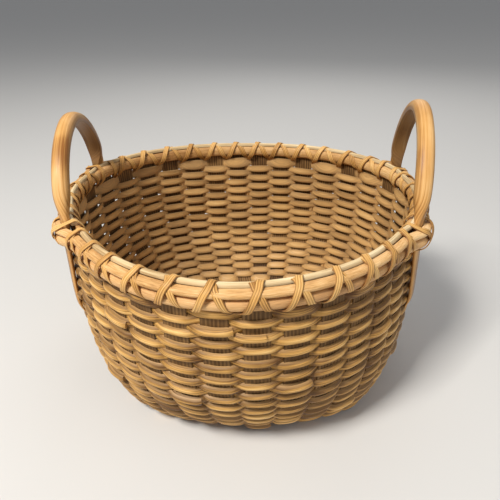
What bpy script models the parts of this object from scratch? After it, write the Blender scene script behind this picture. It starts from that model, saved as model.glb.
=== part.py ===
"""Round woven basket with a squared base and two fixed side handles.

Flat stakes are woven into the base and turn up as the uprights of the wall.
Half-round weavers go over one upright and under the next, one closed row at a time.
A half-round hoop outside and a smaller one inside hold the stake tops, with a filler
along the top edge, and two flat strands cross over the hoops and lash them together.
Each handle is one bent piece of wood, pushed down between the stakes and the outer hoop.

Metres, +Z up.  The origin is on the ground, under the middle of the basket, the base
stakes run along X and Y, and the handles stand at -X and +X.
"""
import math

import bmesh
import bpy
import numpy as np

# Whole basket
RIM_OUTER_RADIUS = 0.1865      # outer face of the outer hoop, without its lashing
RIM_OVAL = 0.0021              # the rim is this much longer towards the handles
RIM_FULLNESS = 0.008           # and this much fuller at the front than at the back
HOOP_TOP = 0.192               # top edges of both hoops above the ground
BASE_HALF_LENGTH = 0.120       # where the stakes turn up, along X
BASE_HALF_WIDTH = 0.119        # where the stakes turn up, along Y
BASE_ROUNDNESS = 4.4           # exponent of the base outline, 2 is an ellipse
BASE_SHIFT = 0.008             # the base stands this much further right than the rim
WALL_BULGE = 1.5               # exponent of the wall's rise, higher is fuller
WALL_TURN = 0.5                # exponent of the turn from base to wall
WALL_BELLY = 0.0122            # how far the wall swells out half way up
BELLY_FADE = 1.75              # exponent of the belly's end at the hoop, higher is later

# Stakes
LONG_COUNT = 10                # stakes that run along Y, front to back
CROSS_COUNT = 8                # stakes that run along X, side to side
CORNER_INSET = 0.02475         # from the base's edge in to the outermost stake's middle
STAKE_WIDTH = 0.017
STAKE_THICKNESS = 0.0014
STAKE_TOP_DROP = 0.003         # stake ends below the hoops' top edges
STAKE_FLATNESS = 0.00015       # how far a straight stretch may leave the curve

# Weavers
ROW_COUNT = 28
WEAVER_HEIGHT = 0.0050
WEAVER_THICKNESS = 0.0030
WEAVER_EDGE = 0.0010           # how far a weaver runs straight past a stake's edge
FIRST_ROW_MARGIN = 0.0105      # bare stake between the base's edge and the first row

# Rim
OUTER_HOOP_HEIGHT = 0.0175
OUTER_HOOP_THICKNESS = 0.0072
INNER_HOOP_HEIGHT = 0.0130
INNER_HOOP_THICKNESS = 0.0060
HOOP_ROUND = 0.0035            # how far the hoops' edges are rounded back
HOOP_SHOULDER = 0.0050         # and how far up and down the rounding reaches
FILLER_WIDTH = 0.0050
FILLER_HEIGHT = 0.0018

# Lashing
LASHING_WIDTH = 0.0050         # along the rim
LASHING_THICKNESS = 0.0010
LASHING_SHOULDER = 0.0060      # where a strand goes over the outer hoop, from the stake's middle
LASHING_HEEL = 0.0090          # where it goes over the inner hoop
LASHING_LEG = 0.0108           # both, at a handle's leg

# Handles
HANDLE_ANGLE = 25.0            # degrees from the X axis to a leg, which stands on a stake
RIGHT_RISE = 0.094             # top of the right handle above the hoops
LEFT_RISE = 0.081
HANDLE_FLARE = 0.003           # how far the tops lean outwards
HANDLE_WIDTH = 0.0160          # across the grip, radially
HANDLE_THICKNESS = 0.0100      # across the grip, in the plane of the arch
HANDLE_SQUARENESS = 1.8        # exponent of the arch, 2 is an ellipse
LEG_THICKNESS = 0.0085         # at the rim, radially
LEG_WIDTH = 0.0140             # at the rim, along the rim
TAIL_THICKNESS = 0.0052        # just under the outer hoop
TAIL_WIDTH = 0.0125
TIP_THICKNESS = 0.0022
TIP_WIDTH = 0.0060
TUCK_ROW = 11                  # the tip goes under this row, or the one below it
ARCH_STEPS = 9                 # stations from a leg's shoulder to the top of the arch
LEG_SHOULDER = 0.0075          # how far a leg runs straight up above the hoops
LEG_BLEND = 0.026              # height over which the leg takes the grip's section
TAIL_STEPS = 4                 # straight stretches of a leg's tail down the wall

CLEARANCE = 0.0003             # between pieces that touch
LASHING_CLEARANCE = 0.0007

CURVE_SAMPLES = 400
DEGREES = math.pi / 180

LONG_PITCH = 2 * (BASE_HALF_LENGTH - CORNER_INSET) / (LONG_COUNT - 1)
CROSS_PITCH = 2 * (BASE_HALF_WIDTH - CORNER_INSET) / (CROSS_COUNT - 1)
UPRIGHT_COUNT = 2 * (LONG_COUNT + CROSS_COUNT)
RIM_STEP = 2 * math.pi / UPRIGHT_COUNT
STAKE_TO_HOOP = STAKE_THICKNESS / 2 + CLEARANCE
RIM_STAKE_RADIUS = RIM_OUTER_RADIUS - OUTER_HOOP_THICKNESS - STAKE_TO_HOOP
CROSSING = (STAKE_THICKNESS + CLEARANCE) / 2
BASE_LEVEL = CROSSING + STAKE_THICKNESS / 2
STAKE_TOP = HOOP_TOP - STAKE_TOP_DROP
WEAVER_OFFSET = STAKE_THICKNESS / 2 + CLEARANCE + WEAVER_THICKNESS / 2
WEAVER_REACH = STAKE_WIDTH / 2 + WEAVER_EDGE
HOOP_BOTTOM = HOOP_TOP - OUTER_HOOP_HEIGHT
LASHING_LAYER = LASHING_THICKNESS + LASHING_CLEARANCE
WEAVE_TOP = HOOP_BOTTOM - 2 * LASHING_LAYER - LASHING_CLEARANCE
HOOP_BULGE = max(LEG_THICKNESS, WEAVER_THICKNESS + CLEARANCE + TAIL_THICKNESS) + CLEARANCE
LASHING_FOOT_GAP = LASHING_WIDTH / 2 + LASHING_CLEARANCE
UP = np.array([0.0, 0.0, 1.0])

COLOURS = {
    "stake_reed": (0.42, 0.27, 0.13, 1.0),
    "weaver_reed": (0.56, 0.38, 0.19, 1.0),
    "hoop_wood": (0.60, 0.40, 0.19, 1.0),
    "filler_reed": (0.50, 0.36, 0.20, 1.0),
    "lashing_cane": (0.66, 0.44, 0.20, 1.0),
    "handle_wood": (0.58, 0.35, 0.14, 1.0),
}
ROUGHNESS = {"stake_reed": 0.75, "weaver_reed": 0.6, "hoop_wood": 0.5,
             "filler_reed": 0.7, "lashing_cane": 0.5, "handle_wood": 0.45}


def clear_scene():
    """Remove whatever the file held before."""
    for old in list(bpy.data.objects):
        bpy.data.objects.remove(old, do_unlink=True)


def make_collection(name):
    """Add a collection to the scene."""
    collection = bpy.data.collections.new(name)
    bpy.context.scene.collection.children.link(collection)
    return collection


def make_material(kind):
    """Plain material of one kind of reed or wood."""
    material = bpy.data.materials.new(kind)
    material.use_nodes = True
    shader = material.node_tree.nodes["Principled BSDF"]
    shader.inputs["Base Color"].default_value = COLOURS[kind]
    shader.inputs["Roughness"].default_value = ROUGHNESS[kind]
    shader.inputs["Metallic"].default_value = 0.0
    return material


def unit(vector):
    """The vector at length one."""
    return vector / np.linalg.norm(vector)


def sweep(name, stations, closed, material, collection, parent):
    """Skin a run of stations, each a list of corner points, into one closed solid."""
    shape = bmesh.new()
    loops = [[shape.verts.new(point) for point in station] for station in stations]
    count = len(loops)
    for index in range(count if closed else count - 1):
        here = loops[index]
        ahead = loops[(index + 1) % count]
        for corner in range(len(here)):
            after = (corner + 1) % len(here)
            shape.faces.new((here[corner], here[after], ahead[after], ahead[corner]))
    if not closed:
        shape.faces.new(loops[0])
        shape.faces.new(loops[-1])
    bmesh.ops.recalc_face_normals(shape, faces=shape.faces)
    mesh = bpy.data.meshes.new(name)
    shape.to_mesh(mesh)
    shape.free()
    mesh.materials.append(material)
    piece = bpy.data.objects.new(name, mesh)
    piece.parent = parent
    collection.objects.link(piece)
    return piece


def rim_radius(angle):
    """Distance from the rim's centre to the stakes' middle."""
    return RIM_STAKE_RADIUS + RIM_OVAL * math.cos(2 * angle) + RIM_FULLNESS * math.sin(3 * angle)


def rim_point(angle):
    """Plan point of the stakes' middle at the rim."""
    radius = rim_radius(angle)
    return np.array([radius * math.cos(angle), radius * math.sin(angle) + RIM_FULLNESS])


def edge_reach(offset, half_across, half_along):
    """How far a stake at an offset runs before it turns up, on the base's outline."""
    left_share = 1 - (abs(offset) / half_across) ** BASE_ROUNDNESS
    return half_along * left_share ** (1 / BASE_ROUNDNESS)


class Upright:
    """One turned-up stake end: its curve from the base's edge to the rim."""

    def __init__(self, angle, edge, outward):
        self.angle = angle
        self.edge = np.array([edge[0] + BASE_SHIFT, edge[1] + RIM_FULLNESS])
        self.outward = np.array([outward[0], outward[1], 0.0])
        self.base_tangent = np.cross(UP, self.outward)
        self.rise_shares = np.linspace(0, 1, CURVE_SAMPLES) ** 2
        self.points = np.array([self.place(share) for share in self.rise_shares])
        steps = np.linalg.norm(np.diff(self.points, axis=0), axis=1)
        self.arcs = np.concatenate([[0.0], np.cumsum(steps)])
        self.tangents = None

    def place(self, rise_share):
        """Point of the stake's middle at a share of the wall's height."""
        spread = (1 - (1 - rise_share) ** WALL_BULGE) ** WALL_TURN
        rim_place = rim_point(self.angle)
        belly = WALL_BELLY * math.sin(math.pi * rise_share) * (1 - rise_share ** BELLY_FADE)
        plan = self.edge + (rim_place - self.edge) * spread + unit(rim_place) * belly
        return np.array([*plan, BASE_LEVEL + (STAKE_TOP - BASE_LEVEL) * rise_share])

    def arc_at_height(self, height):
        """Length of stake from the base's edge up to a height."""
        return float(np.interp(height, self.points[:, 2], self.arcs))

    def at(self, arc):
        """Point, sideways tangent, outward normal and upward direction at a length."""
        point = np.array([np.interp(arc, self.arcs, self.points[:, k]) for k in range(3)])
        side = unit(np.array([np.interp(arc, self.arcs, self.tangents[:, k]) for k in range(3)]))
        step = self.arcs[-1] / CURVE_SAMPLES
        low = max(arc - step, 0.0)
        high = min(arc + step, self.arcs[-1])
        ends = [np.array([np.interp(a, self.arcs, self.points[:, k]) for k in range(3)])
                for a in (low, high)]
        up = ends[1] - ends[0]
        up = unit(up - side * np.dot(up, side))
        return point, side, np.cross(side, up), up


def link_tangents(ring):
    """Give each upright its sideways direction from its two neighbours."""
    count = len(ring)
    for index, upright in enumerate(ring):
        before = ring[index - 1]
        after = ring[(index + 1) % count]
        chord = after.points - before.points
        chord[:, 2] = 0.0
        chord /= np.linalg.norm(chord, axis=1)[:, None]
        turned_shares = np.clip(upright.arcs / (STAKE_WIDTH / 2), 0, 1)[:, None]
        blend = upright.base_tangent * (1 - turned_shares) + chord * turned_shares
        upright.tangents = blend / np.linalg.norm(blend, axis=1)[:, None]


def make_uprights():
    """All uprights, in order of their angle at the rim, and each stake's two ends."""
    ends = {}
    for index in range(CROSS_COUNT):
        number = index - (CROSS_COUNT - 1) / 2
        offset = number * CROSS_PITCH
        reach = edge_reach(offset, BASE_HALF_WIDTH, BASE_HALF_LENGTH)
        right = Upright(number * RIM_STEP, (reach, offset), (1, 0))
        left = Upright(math.pi - number * RIM_STEP, (-reach, offset), (-1, 0))
        ends["cross", index] = (left, right)
    for index in range(LONG_COUNT):
        number = index - (LONG_COUNT - 1) / 2
        offset = number * LONG_PITCH
        reach = edge_reach(offset, BASE_HALF_LENGTH, BASE_HALF_WIDTH)
        front = Upright(-math.pi / 2 + number * RIM_STEP, (offset, -reach), (0, -1))
        back = Upright(math.pi / 2 - number * RIM_STEP, (offset, reach), (0, 1))
        ends["long", index] = (front, back)
    ring = [upright for pair in ends.values() for upright in pair]
    ring.sort(key=lambda upright: upright.angle % (2 * math.pi))
    link_tangents(ring)
    return ring, ends


def off_chord(line, first, last):
    """Furthest that a line's points between two of them lie from the straight chord."""
    along = unit(line[last] - line[first])
    between = line[first:last] - line[first]
    return np.linalg.norm(between - np.outer(between @ along, along), axis=1).max()


def chord_stations(upright):
    """Lengths along an upright whose straight stretches keep close to its two edges."""
    half_width = upright.tangents * STAKE_WIDTH / 2
    edges = (upright.points - half_width, upright.points + half_width)
    chosen = [0]
    for index in range(2, CURVE_SAMPLES):
        if max(off_chord(edge, chosen[-1], index) for edge in edges) > STAKE_FLATNESS:
            chosen.append(index - 1)
    return [upright.arcs[index] for index in chosen] + [upright.arcs[-1]]


def flat_section(point, side, normal):
    """Four corners of a flat stake's section."""
    half_width = side * STAKE_WIDTH / 2
    half_thickness = normal * STAKE_THICKNESS / 2
    return [point - half_width - half_thickness, point + half_width - half_thickness,
            point + half_width + half_thickness, point - half_width + half_thickness]


def upright_sections(upright, mirrored):
    """Sections of one turned-up end, from the base's edge to the rim."""
    sections = []
    for arc in chord_stations(upright)[1:]:
        point, side, normal, _ = upright.at(arc)
        section = flat_section(point, side, normal)
        if mirrored:
            section = flat_section(point, -side, normal)
        sections.append(section)
    return sections


def edge_section(upright, mirrored):
    """Section on the base's edge, where the turn starts."""
    point, side, normal, _ = upright.at(0.0)
    return flat_section(point, -side if mirrored else side, unit(normal - UP))


def base_sections(kind, index):
    """Sections of a stake across the base, over and under the stakes that it meets."""
    long_way = kind == "long"
    own_pitch, other_pitch = (LONG_PITCH, CROSS_PITCH) if long_way else (CROSS_PITCH, LONG_PITCH)
    own_count, other_count = (LONG_COUNT, CROSS_COUNT) if long_way else (CROSS_COUNT, LONG_COUNT)
    offset = (index - (own_count - 1) / 2) * own_pitch
    along = np.array([0.0, 1.0, 0.0]) if long_way else np.array([1.0, 0.0, 0.0])
    side = np.array([1.0, 0.0, 0.0]) if long_way else np.array([0.0, -1.0, 0.0])
    middle = np.array([offset if long_way else 0.0, 0.0 if long_way else offset, BASE_LEVEL])
    middle[:2] += (BASE_SHIFT, RIM_FULLNESS)
    sections = []
    for crossing in range(other_count):
        over = (index + crossing) % 2 == 0
        lift = CROSSING if over == long_way else -CROSSING
        place = (crossing - (other_count - 1) / 2) * other_pitch
        for end in (-WEAVER_REACH, WEAVER_REACH):
            point = middle + along * (place + end) + UP * lift
            sections.append(flat_section(point, side, -UP))
    return sections


def make_stakes(ends, material, collection, parent):
    """All stakes, each one strip from rim to base to rim."""
    for (kind, index), (first, last) in ends.items():
        start = upright_sections(first, False)[::-1] + [edge_section(first, False)]
        finish = [edge_section(last, True)] + upright_sections(last, True)
        sections = start + base_sections(kind, index) + finish
        sweep(f"{kind}_stake_{index + 1:02d}", sections, False, material, collection, parent)


def row_arc(upright, row):
    """Length along an upright at which a row crosses it."""
    top = upright.arc_at_height(WEAVE_TOP)
    return top - (row + 1 / 2) * (top - FIRST_ROW_MARGIN) / ROW_COUNT


def goes_outside(position, row):
    """Whether a row passes outside the upright at a position round the ring."""
    return (position + row) % 2 == 0


def tuck_row(position):
    """The row that holds a handle's tip down at this upright."""
    return TUCK_ROW if goes_outside(position, TUCK_ROW) else TUCK_ROW + 1


def leg_positions(ring):
    """Places round the ring of the uprights that carry the handles' legs."""
    angles = [HANDLE_ANGLE, 180 - HANDLE_ANGLE, 180 + HANDLE_ANGLE, 360 - HANDLE_ANGLE]
    found = []
    for angle in angles:
        gaps = [abs(math.remainder(upright.angle - angle * DEGREES, 2 * math.pi)) for upright in ring]
        found.append(gaps.index(min(gaps)))
    return found


def make_rows(ring, legs, material, collection, parent):
    """All rows of weaving, each a closed ring over and under the uprights."""
    for row in range(ROW_COUNT):
        stations = []
        for position, upright in enumerate(ring):
            point, side, normal, up = upright.at(row_arc(upright, row))
            offset = WEAVER_OFFSET if goes_outside(position, row) else -WEAVER_OFFSET
            if position in legs and row == tuck_row(position):
                offset += TIP_THICKNESS + CLEARANCE
            for end in (-WEAVER_REACH, WEAVER_REACH):
                middle = point + side * end + normal * offset
                inner = middle - normal * WEAVER_THICKNESS / 2
                half_height = up * WEAVER_HEIGHT / 2
                crown = middle + normal * WEAVER_THICKNESS / 2
                stations.append([inner - half_height, inner + half_height, crown])
        sweep(f"weaver_row_{row + 1:02d}", stations, True, material, collection, parent)


class RimStation:
    """A place on the rim, beside an upright's edge, where the hoops' stretches meet."""

    def __init__(self, upright, end, push):
        point, side, _, _ = upright.at(upright.arcs[-1])
        self.plan = point * np.array([1.0, 1.0, 0.0]) + side * end
        self.normal = np.cross(side, UP)
        self.angle = upright.angle + end / RIM_STAKE_RADIUS
        self.push = push

    def corner(self, outwards, height):
        """Point at a distance outwards from the stakes and a height."""
        return self.plan + self.normal * outwards + UP * height


def rim_stations(ring, legs):
    """Two stations for each upright; the ones at a leg push the outer hoop out."""
    near_push_share = 0.3
    stations = []
    count = len(ring)
    for position, upright in enumerate(ring):
        shares = [0.0, 0.0]
        if position in legs:
            shares = [1.0, 1.0]
        elif (position - 1) % count in legs:
            shares = [near_push_share, 0.0]
        elif (position + 1) % count in legs:
            shares = [0.0, near_push_share]
        for end, share in zip((-WEAVER_REACH, WEAVER_REACH), shares):
            stations.append(RimStation(upright, end, HOOP_BULGE * share))
    return stations


def make_outer_hoop(stations, material, collection, parent):
    """The half-round hoop outside, pushed out where the handles' legs pass behind it."""
    near = STAKE_TO_HOOP
    far = near + OUTER_HOOP_THICKNESS
    outline = [(near, HOOP_BOTTOM), (far - HOOP_ROUND, HOOP_BOTTOM), (far, HOOP_BOTTOM + HOOP_SHOULDER),
               (far, HOOP_TOP - HOOP_SHOULDER), (far - HOOP_ROUND, HOOP_TOP), (near, HOOP_TOP)]
    sections = [[station.corner(out + station.push, height) for out, height in outline]
                for station in stations]
    return sweep("outer_hoop", sections, True, material, collection, parent)


def make_inner_hoop(stations, material, collection, parent):
    """The smaller half-round hoop inside."""
    near = -STAKE_TO_HOOP
    far = near - INNER_HOOP_THICKNESS
    low = HOOP_TOP - INNER_HOOP_HEIGHT
    outline = [(near, low), (far, low + HOOP_ROUND), (far, HOOP_TOP - HOOP_ROUND), (near, HOOP_TOP)]
    sections = [[station.corner(out, height) for out, height in outline] for station in stations]
    return sweep("inner_hoop", sections, True, material, collection, parent)


def make_filler(stations, material, collection, parent):
    """The strip along the top edge, over the inner hoop and the stake ends."""
    low = HOOP_TOP + CLEARANCE
    far = STAKE_THICKNESS / 2
    outline = [(far - FILLER_WIDTH, low), (far, low), (far - FILLER_WIDTH / 2, low + FILLER_HEIGHT)]
    sections = [[station.corner(out, height) for out, height in outline] for station in stations]
    return sweep("rim_filler", sections, True, material, collection, parent)


def rim_frame(angle):
    """Plan point of the stakes' middle, tangent and outward normal at the rim."""
    small_step = RIM_STEP / CURVE_SAMPLES
    before = rim_point(angle - small_step)
    after = rim_point(angle + small_step)
    tangent = unit(np.array([*(after - before), 0.0]))
    return np.array([*rim_point(angle), 0.0]), tangent, np.cross(tangent, UP)


def hoop_push(stations, angle, at_leg):
    """How far the outer hoop's face is pushed out at an angle round the rim."""
    if at_leg:
        return HOOP_BULGE
    angles = [station.angle for station in stations]
    pushes = [station.push for station in stations]
    return float(np.interp(angle, angles, pushes, period=2 * math.pi))


def strand_corners(layer, radius, at_leg):
    """A strand's way round the rim: slide along the rim, outward place, height and face."""
    gap = LASHING_CLEARANCE + LASHING_THICKNESS / 2 + layer * LASHING_LAYER
    outer = STAKE_TO_HOOP + OUTER_HOOP_THICKNESS + gap
    inner = -STAKE_TO_HOOP - INNER_HOOP_THICKNESS - gap
    ridge = (STAKE_THICKNESS - FILLER_WIDTH) / 2
    low = HOOP_BOTTOM - gap
    high = HOOP_TOP + gap
    gap_middle = RIM_STEP * radius / 2
    shoulder = LASHING_LEG if at_leg else LASHING_SHOULDER
    heel = LASHING_LEG if at_leg else LASHING_HEEL
    return [
        (LASHING_FOOT_GAP - gap_middle, outer, low, (1, -1)),
        (0.0, outer, (low + high) / 2, (1, 0)),
        (shoulder, outer - LASHING_CLEARANCE / 2, high, (1, 1)),
        ((shoulder + heel) / 2, ridge, high + FILLER_HEIGHT + CLEARANCE, (0, 1)),
        (heel, inner + LASHING_CLEARANCE / 2, high, (-1, 1)),
        (gap_middle + LASHING_FOOT_GAP, inner, low, (-1, -1)),
    ]


def make_strand(name, layer, direction, ring, legs, rim, material, collection, parent):
    """One lashing strand, wound once round the hoops for each upright."""
    order = range(len(ring)) if direction > 0 else range(len(ring) - 1, -1, -1)
    half_width = LASHING_WIDTH / 2 * direction
    half_thickness = LASHING_THICKNESS / 2
    sections = []
    for position in order:
        middle_angle = ring[position].angle
        radius = rim_radius(middle_angle)
        at_leg = position in legs
        for slide, out, height, (face, top) in strand_corners(layer, radius, at_leg):
            angle = middle_angle + direction * slide / radius
            plan, tangent, normal = rim_frame(angle)
            push = hoop_push(rim, angle, at_leg) if out > 0 else 0.0
            point = plan + normal * (out + push) + UP * height
            outward = (normal * face + UP * top) * half_thickness
            side = tangent * half_width
            sections.append([point - outward - side, point - outward + side, point + outward])
    return sweep(name, sections, True, material, collection, parent)


def handle_section(point, across, through, width, thickness):
    """Eight corners of a handle's section, flat towards the arch's middle and round outside."""
    half_width = across * width / 2
    half_thickness = through * thickness / 2
    outline_shares = [(-0.85, -1), (0.85, -1), (1, -0.75), (1, 0.05),
                      (0.55, 1), (-0.55, 1), (-1, 0.05), (-1, -0.75)]
    return [point + half_width * a + half_thickness * b for a, b in outline_shares]


def leg_sections(upright, position, tangent_sign):
    """One leg's middles, directions and sizes, from its tucked tip up above the hoops."""
    tuck_arc = row_arc(upright, tuck_row(position))
    row_gap = row_arc(upright, 0) - row_arc(upright, 1)
    top_arc = upright.arcs[-1]
    outside = STAKE_TO_HOOP + WEAVER_THICKNESS + CLEARANCE
    weave_arc = upright.arc_at_height(WEAVE_TOP)
    bend_low = tuck_arc + WEAVER_HEIGHT / 2 + CLEARANCE
    bend_high = tuck_arc + 2 * row_gap - WEAVER_HEIGHT / 2 - CLEARANCE
    tail_start = ((TIP_THICKNESS + TAIL_THICKNESS) / 2, (TIP_WIDTH + TAIL_WIDTH) / 2)
    rows = [
        (tuck_arc - WEAVER_HEIGHT / 2, STAKE_TO_HOOP, TIP_THICKNESS, TIP_WIDTH),
        (bend_low, STAKE_TO_HOOP, TIP_THICKNESS, TIP_WIDTH),
    ]
    for step in range(TAIL_STEPS + 1):
        share = step / TAIL_STEPS
        thickness = tail_start[0] * (1 - share) + TAIL_THICKNESS * share
        width = tail_start[1] * (1 - share) + TAIL_WIDTH * share
        rows.append((bend_high * (1 - share) + weave_arc * share, outside, thickness, width))
    rows.append((top_arc, STAKE_TO_HOOP, LEG_THICKNESS, LEG_WIDTH))
    sections = []
    for arc, inner, thickness, width in rows:
        point, side, normal, _ = upright.at(arc)
        middle = point + normal * (inner + thickness / 2)
        sections.append((middle, normal, side * tangent_sign, thickness, width))
    shoulder = sections[-1][0] + UP * (HOOP_TOP + LEG_SHOULDER - sections[-1][0][2])
    sections.append((shoulder, *sections[-1][1:]))
    return sections


def make_handle(name, ring, positions, facing, top_rise, material, collection, parent):
    """One handle: two legs and the arch between them, as a single bent piece."""
    first, last = positions
    leg_one = leg_sections(ring[first], first, -facing)
    leg_two = leg_sections(ring[last], last, facing)
    shoulder_one, shoulder_two = leg_one[-1][0], leg_two[-1][0]
    half_span = (shoulder_two - shoulder_one) / 2
    centre = (shoulder_one + shoulder_two) / 2
    grip_across = unit(np.cross(half_span, UP)) * facing
    rise = HOOP_TOP + top_rise - HANDLE_THICKNESS / 2 - centre[2]
    arch = []
    steps = 2 * ARCH_STEPS
    power = 2 / HANDLE_SQUARENESS
    for step in range(1, steps):
        turn = math.pi * step / steps
        across = -math.copysign(abs(math.cos(turn)) ** power, math.cos(turn))
        lift = math.sin(turn) ** power
        arch.append(centre + half_span * across + (grip_across * HANDLE_FLARE + UP * rise) * lift)
    path = [shoulder_one] + arch + [shoulder_two]
    sections = [handle_section(middle, normal, side, thickness, width)
                for middle, normal, side, thickness, width in leg_one]
    for index in range(1, len(path) - 1):
        along = unit(path[index + 1] - path[index - 1])
        height_share = min((path[index][2] - centre[2]) / LEG_BLEND, 1)
        leg = leg_one[-1] if index < len(path) / 2 else leg_two[-1]
        across = unit(leg[1] * (1 - height_share) + grip_across * height_share)
        across = unit(across - along * np.dot(across, along))
        through = np.cross(across, along) * facing
        width = LEG_THICKNESS + (HANDLE_WIDTH - LEG_THICKNESS) * height_share
        thickness = LEG_WIDTH + (HANDLE_THICKNESS - LEG_WIDTH) * height_share
        sections.append(handle_section(path[index], across, through, width, thickness))
    sections += [handle_section(middle, normal, side, thickness, width)
                 for middle, normal, side, thickness, width in leg_two[::-1]]
    return sweep(name, sections, False, material, collection, parent)


clear_scene()
basket = make_collection("woven_basket")
frame = bpy.data.objects.new("basket_frame", None)
basket.objects.link(frame)
materials = {kind: make_material(kind) for kind in COLOURS}

uprights, stake_ends = make_uprights()
leg_places = leg_positions(uprights)
rim = rim_stations(uprights, leg_places)

make_stakes(stake_ends, materials["stake_reed"], basket, frame)
make_rows(uprights, leg_places, materials["weaver_reed"], basket, frame)
make_outer_hoop(rim, materials["hoop_wood"], basket, frame)
make_inner_hoop(rim, materials["hoop_wood"], basket, frame)
make_filler(rim, materials["filler_reed"], basket, frame)
cane = materials["lashing_cane"]
make_strand("under_lashing", 0, -1, uprights, leg_places, rim, cane, basket, frame)
make_strand("over_lashing", 1, 1, uprights, leg_places, rim, cane, basket, frame)
right_legs = (leg_places[3], leg_places[0])
left_legs = (leg_places[2], leg_places[1])
wood = materials["handle_wood"]
make_handle("right_handle", uprights, right_legs, 1, RIGHT_RISE, wood, basket, frame)
make_handle("left_handle", uprights, left_legs, -1, LEFT_RISE, wood, basket, frame)
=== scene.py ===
"""Looks of a woven reed basket with a lashed rim and two bentwood handles.

Every strip of the basket is a rail, a curve with its own width, depth and directions, and
one Geometry Nodes tree sweeps a reed's section along it. The rails follow the same rules
as the solids that they stand for, with the bends, laps and unevenness of hand work added.
"""
from __future__ import annotations

import logging
import math
from dataclasses import dataclass, field
from enum import Enum

import bpy
import numpy as np
from mathutils import Matrix, Vector

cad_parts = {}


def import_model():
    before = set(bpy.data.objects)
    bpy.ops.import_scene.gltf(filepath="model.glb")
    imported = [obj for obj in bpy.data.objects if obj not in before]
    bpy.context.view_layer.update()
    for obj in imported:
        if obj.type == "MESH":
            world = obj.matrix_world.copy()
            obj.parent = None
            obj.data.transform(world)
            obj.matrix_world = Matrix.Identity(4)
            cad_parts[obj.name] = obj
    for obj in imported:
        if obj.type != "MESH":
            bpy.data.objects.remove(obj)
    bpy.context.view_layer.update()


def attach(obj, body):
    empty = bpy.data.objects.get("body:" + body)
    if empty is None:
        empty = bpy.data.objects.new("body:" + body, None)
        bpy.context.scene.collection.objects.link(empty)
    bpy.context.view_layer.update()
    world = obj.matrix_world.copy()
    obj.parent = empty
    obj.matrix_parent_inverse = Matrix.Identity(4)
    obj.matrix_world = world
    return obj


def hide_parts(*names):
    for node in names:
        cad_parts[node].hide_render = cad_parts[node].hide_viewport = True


Array = np.ndarray
Socket = bpy.types.NodeSocket
Colour = tuple[float, float, float]
Place = tuple[float, float, float]
Upright = tuple[float, Place, Place, tuple[bool, int, int]]
Station = tuple[Array, Array, Array, float, float]
TURN = 2 * math.pi
UP = np.array((0.0, 0.0, 1.0))
PLAIN_TONE = 0.5
log = logging.getLogger("basket")


class Slot(Enum):
    """Material slots of the record."""

    STAKE = "stake_reed"
    WEAVER = "weaver_reed"
    HOOP = "hoop_wood"
    FILLER = "filler_reed"
    LASHING = "lashing_cane"
    HANDLE = "handle_wood"


class Lay(Enum):
    """Which way a lashing strand winds round the rim."""

    UNDER = -1
    OVER = 1


def unit(vectors: Array) -> Array:
    """Vectors at length one, along the last axis."""
    return vectors / np.linalg.norm(vectors, axis=-1, keepdims=True)


def square_to(vectors: Array, along: Array) -> Array:
    """Vectors turned square to a direction, at length one."""
    return unit(vectors - along * np.sum(vectors * along, axis=-1, keepdims=True))


def smooth_ring(values: Array, places: Array) -> Array:
    """Values between the members of a ring, on a smooth curve through them.

    Args:
        values: One row for each member of the ring.
        places: Fractional places round the ring.

    Returns:
        One row for each place.
    """
    first = np.floor(places).astype(int)
    part = (places - first)[:, None]
    before, here, after, beyond = (values[(first + step) % len(values)] for step in (-1, 0, 1, 2))
    cubic = 3 * here - before - 3 * after + beyond
    square = 2 * before - 5 * here + 4 * after - beyond
    return here + part * (after - before + part * (square + part * cubic)) / 2


def resample(points: Array, step: float, *others: Array) -> list[Array]:
    """Even steps along a polyline, and what other rows of values are there.

    Args:
        points: The polyline's points.
        step: About how long a step is.
        *others: Values with one row for each point.

    Returns:
        The new points, and each of the others at them.
    """
    runs = np.concatenate([[0.0], np.cumsum(np.linalg.norm(np.diff(points, axis=0), axis=1))])
    count = max(int(round(runs[-1] / step)), 2)
    places = np.linspace(0.0, runs[-1], count + 1)
    made = []
    for rows in (points, *others):
        columns = rows.reshape(len(rows), -1)
        values = np.stack([np.interp(places, runs, column) for column in columns.T], axis=1)
        made.append(values.reshape((len(places),) + rows.shape[1:]))
    return made


def soften(rows: Array, reach: float) -> Array:
    """Rows blurred along their order, with both ends kept.

    Args:
        rows: Values in order.
        reach: Width of the blur in rows.

    Returns:
        The blurred rows.
    """
    half = int(math.ceil(3 * reach))
    weights = np.exp(-0.5 * (np.arange(-half, half + 1) / reach) ** 2)
    weights /= weights.sum()
    flat = rows.reshape(len(rows), -1)
    low = 2 * flat[0] - flat[half:0:-1]
    high = 2 * flat[-1] - flat[-2:-half - 2:-1]
    padded = np.concatenate([low, flat, high])
    made = np.stack([np.convolve(column, weights, "valid") for column in padded.T], axis=1)
    return made.reshape(rows.shape)


@dataclass(frozen=True)
class Sway:
    """Slow waves along a strip, summed with steady random phases.

    The sum stays between about minus one and one, times the reach.
    """

    reach: float
    seed: int
    periods: tuple[float, ...]

    def at(self, places: Array, strip: int = 0) -> Array:
        """The waves at places along a strip.

        Args:
            places: Places along the strip, in the unit of the periods.
            strip: Number added to the seed, so that strips differ.

        Returns:
            One value for each place.
        """
        phases = np.random.default_rng(self.seed + strip).uniform(0, TURN, len(self.periods))
        total = sum(np.sin(TURN * places / period + phase) for period, phase in zip(self.periods, phases))
        return self.reach * (total / math.sqrt(len(self.periods)))


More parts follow.
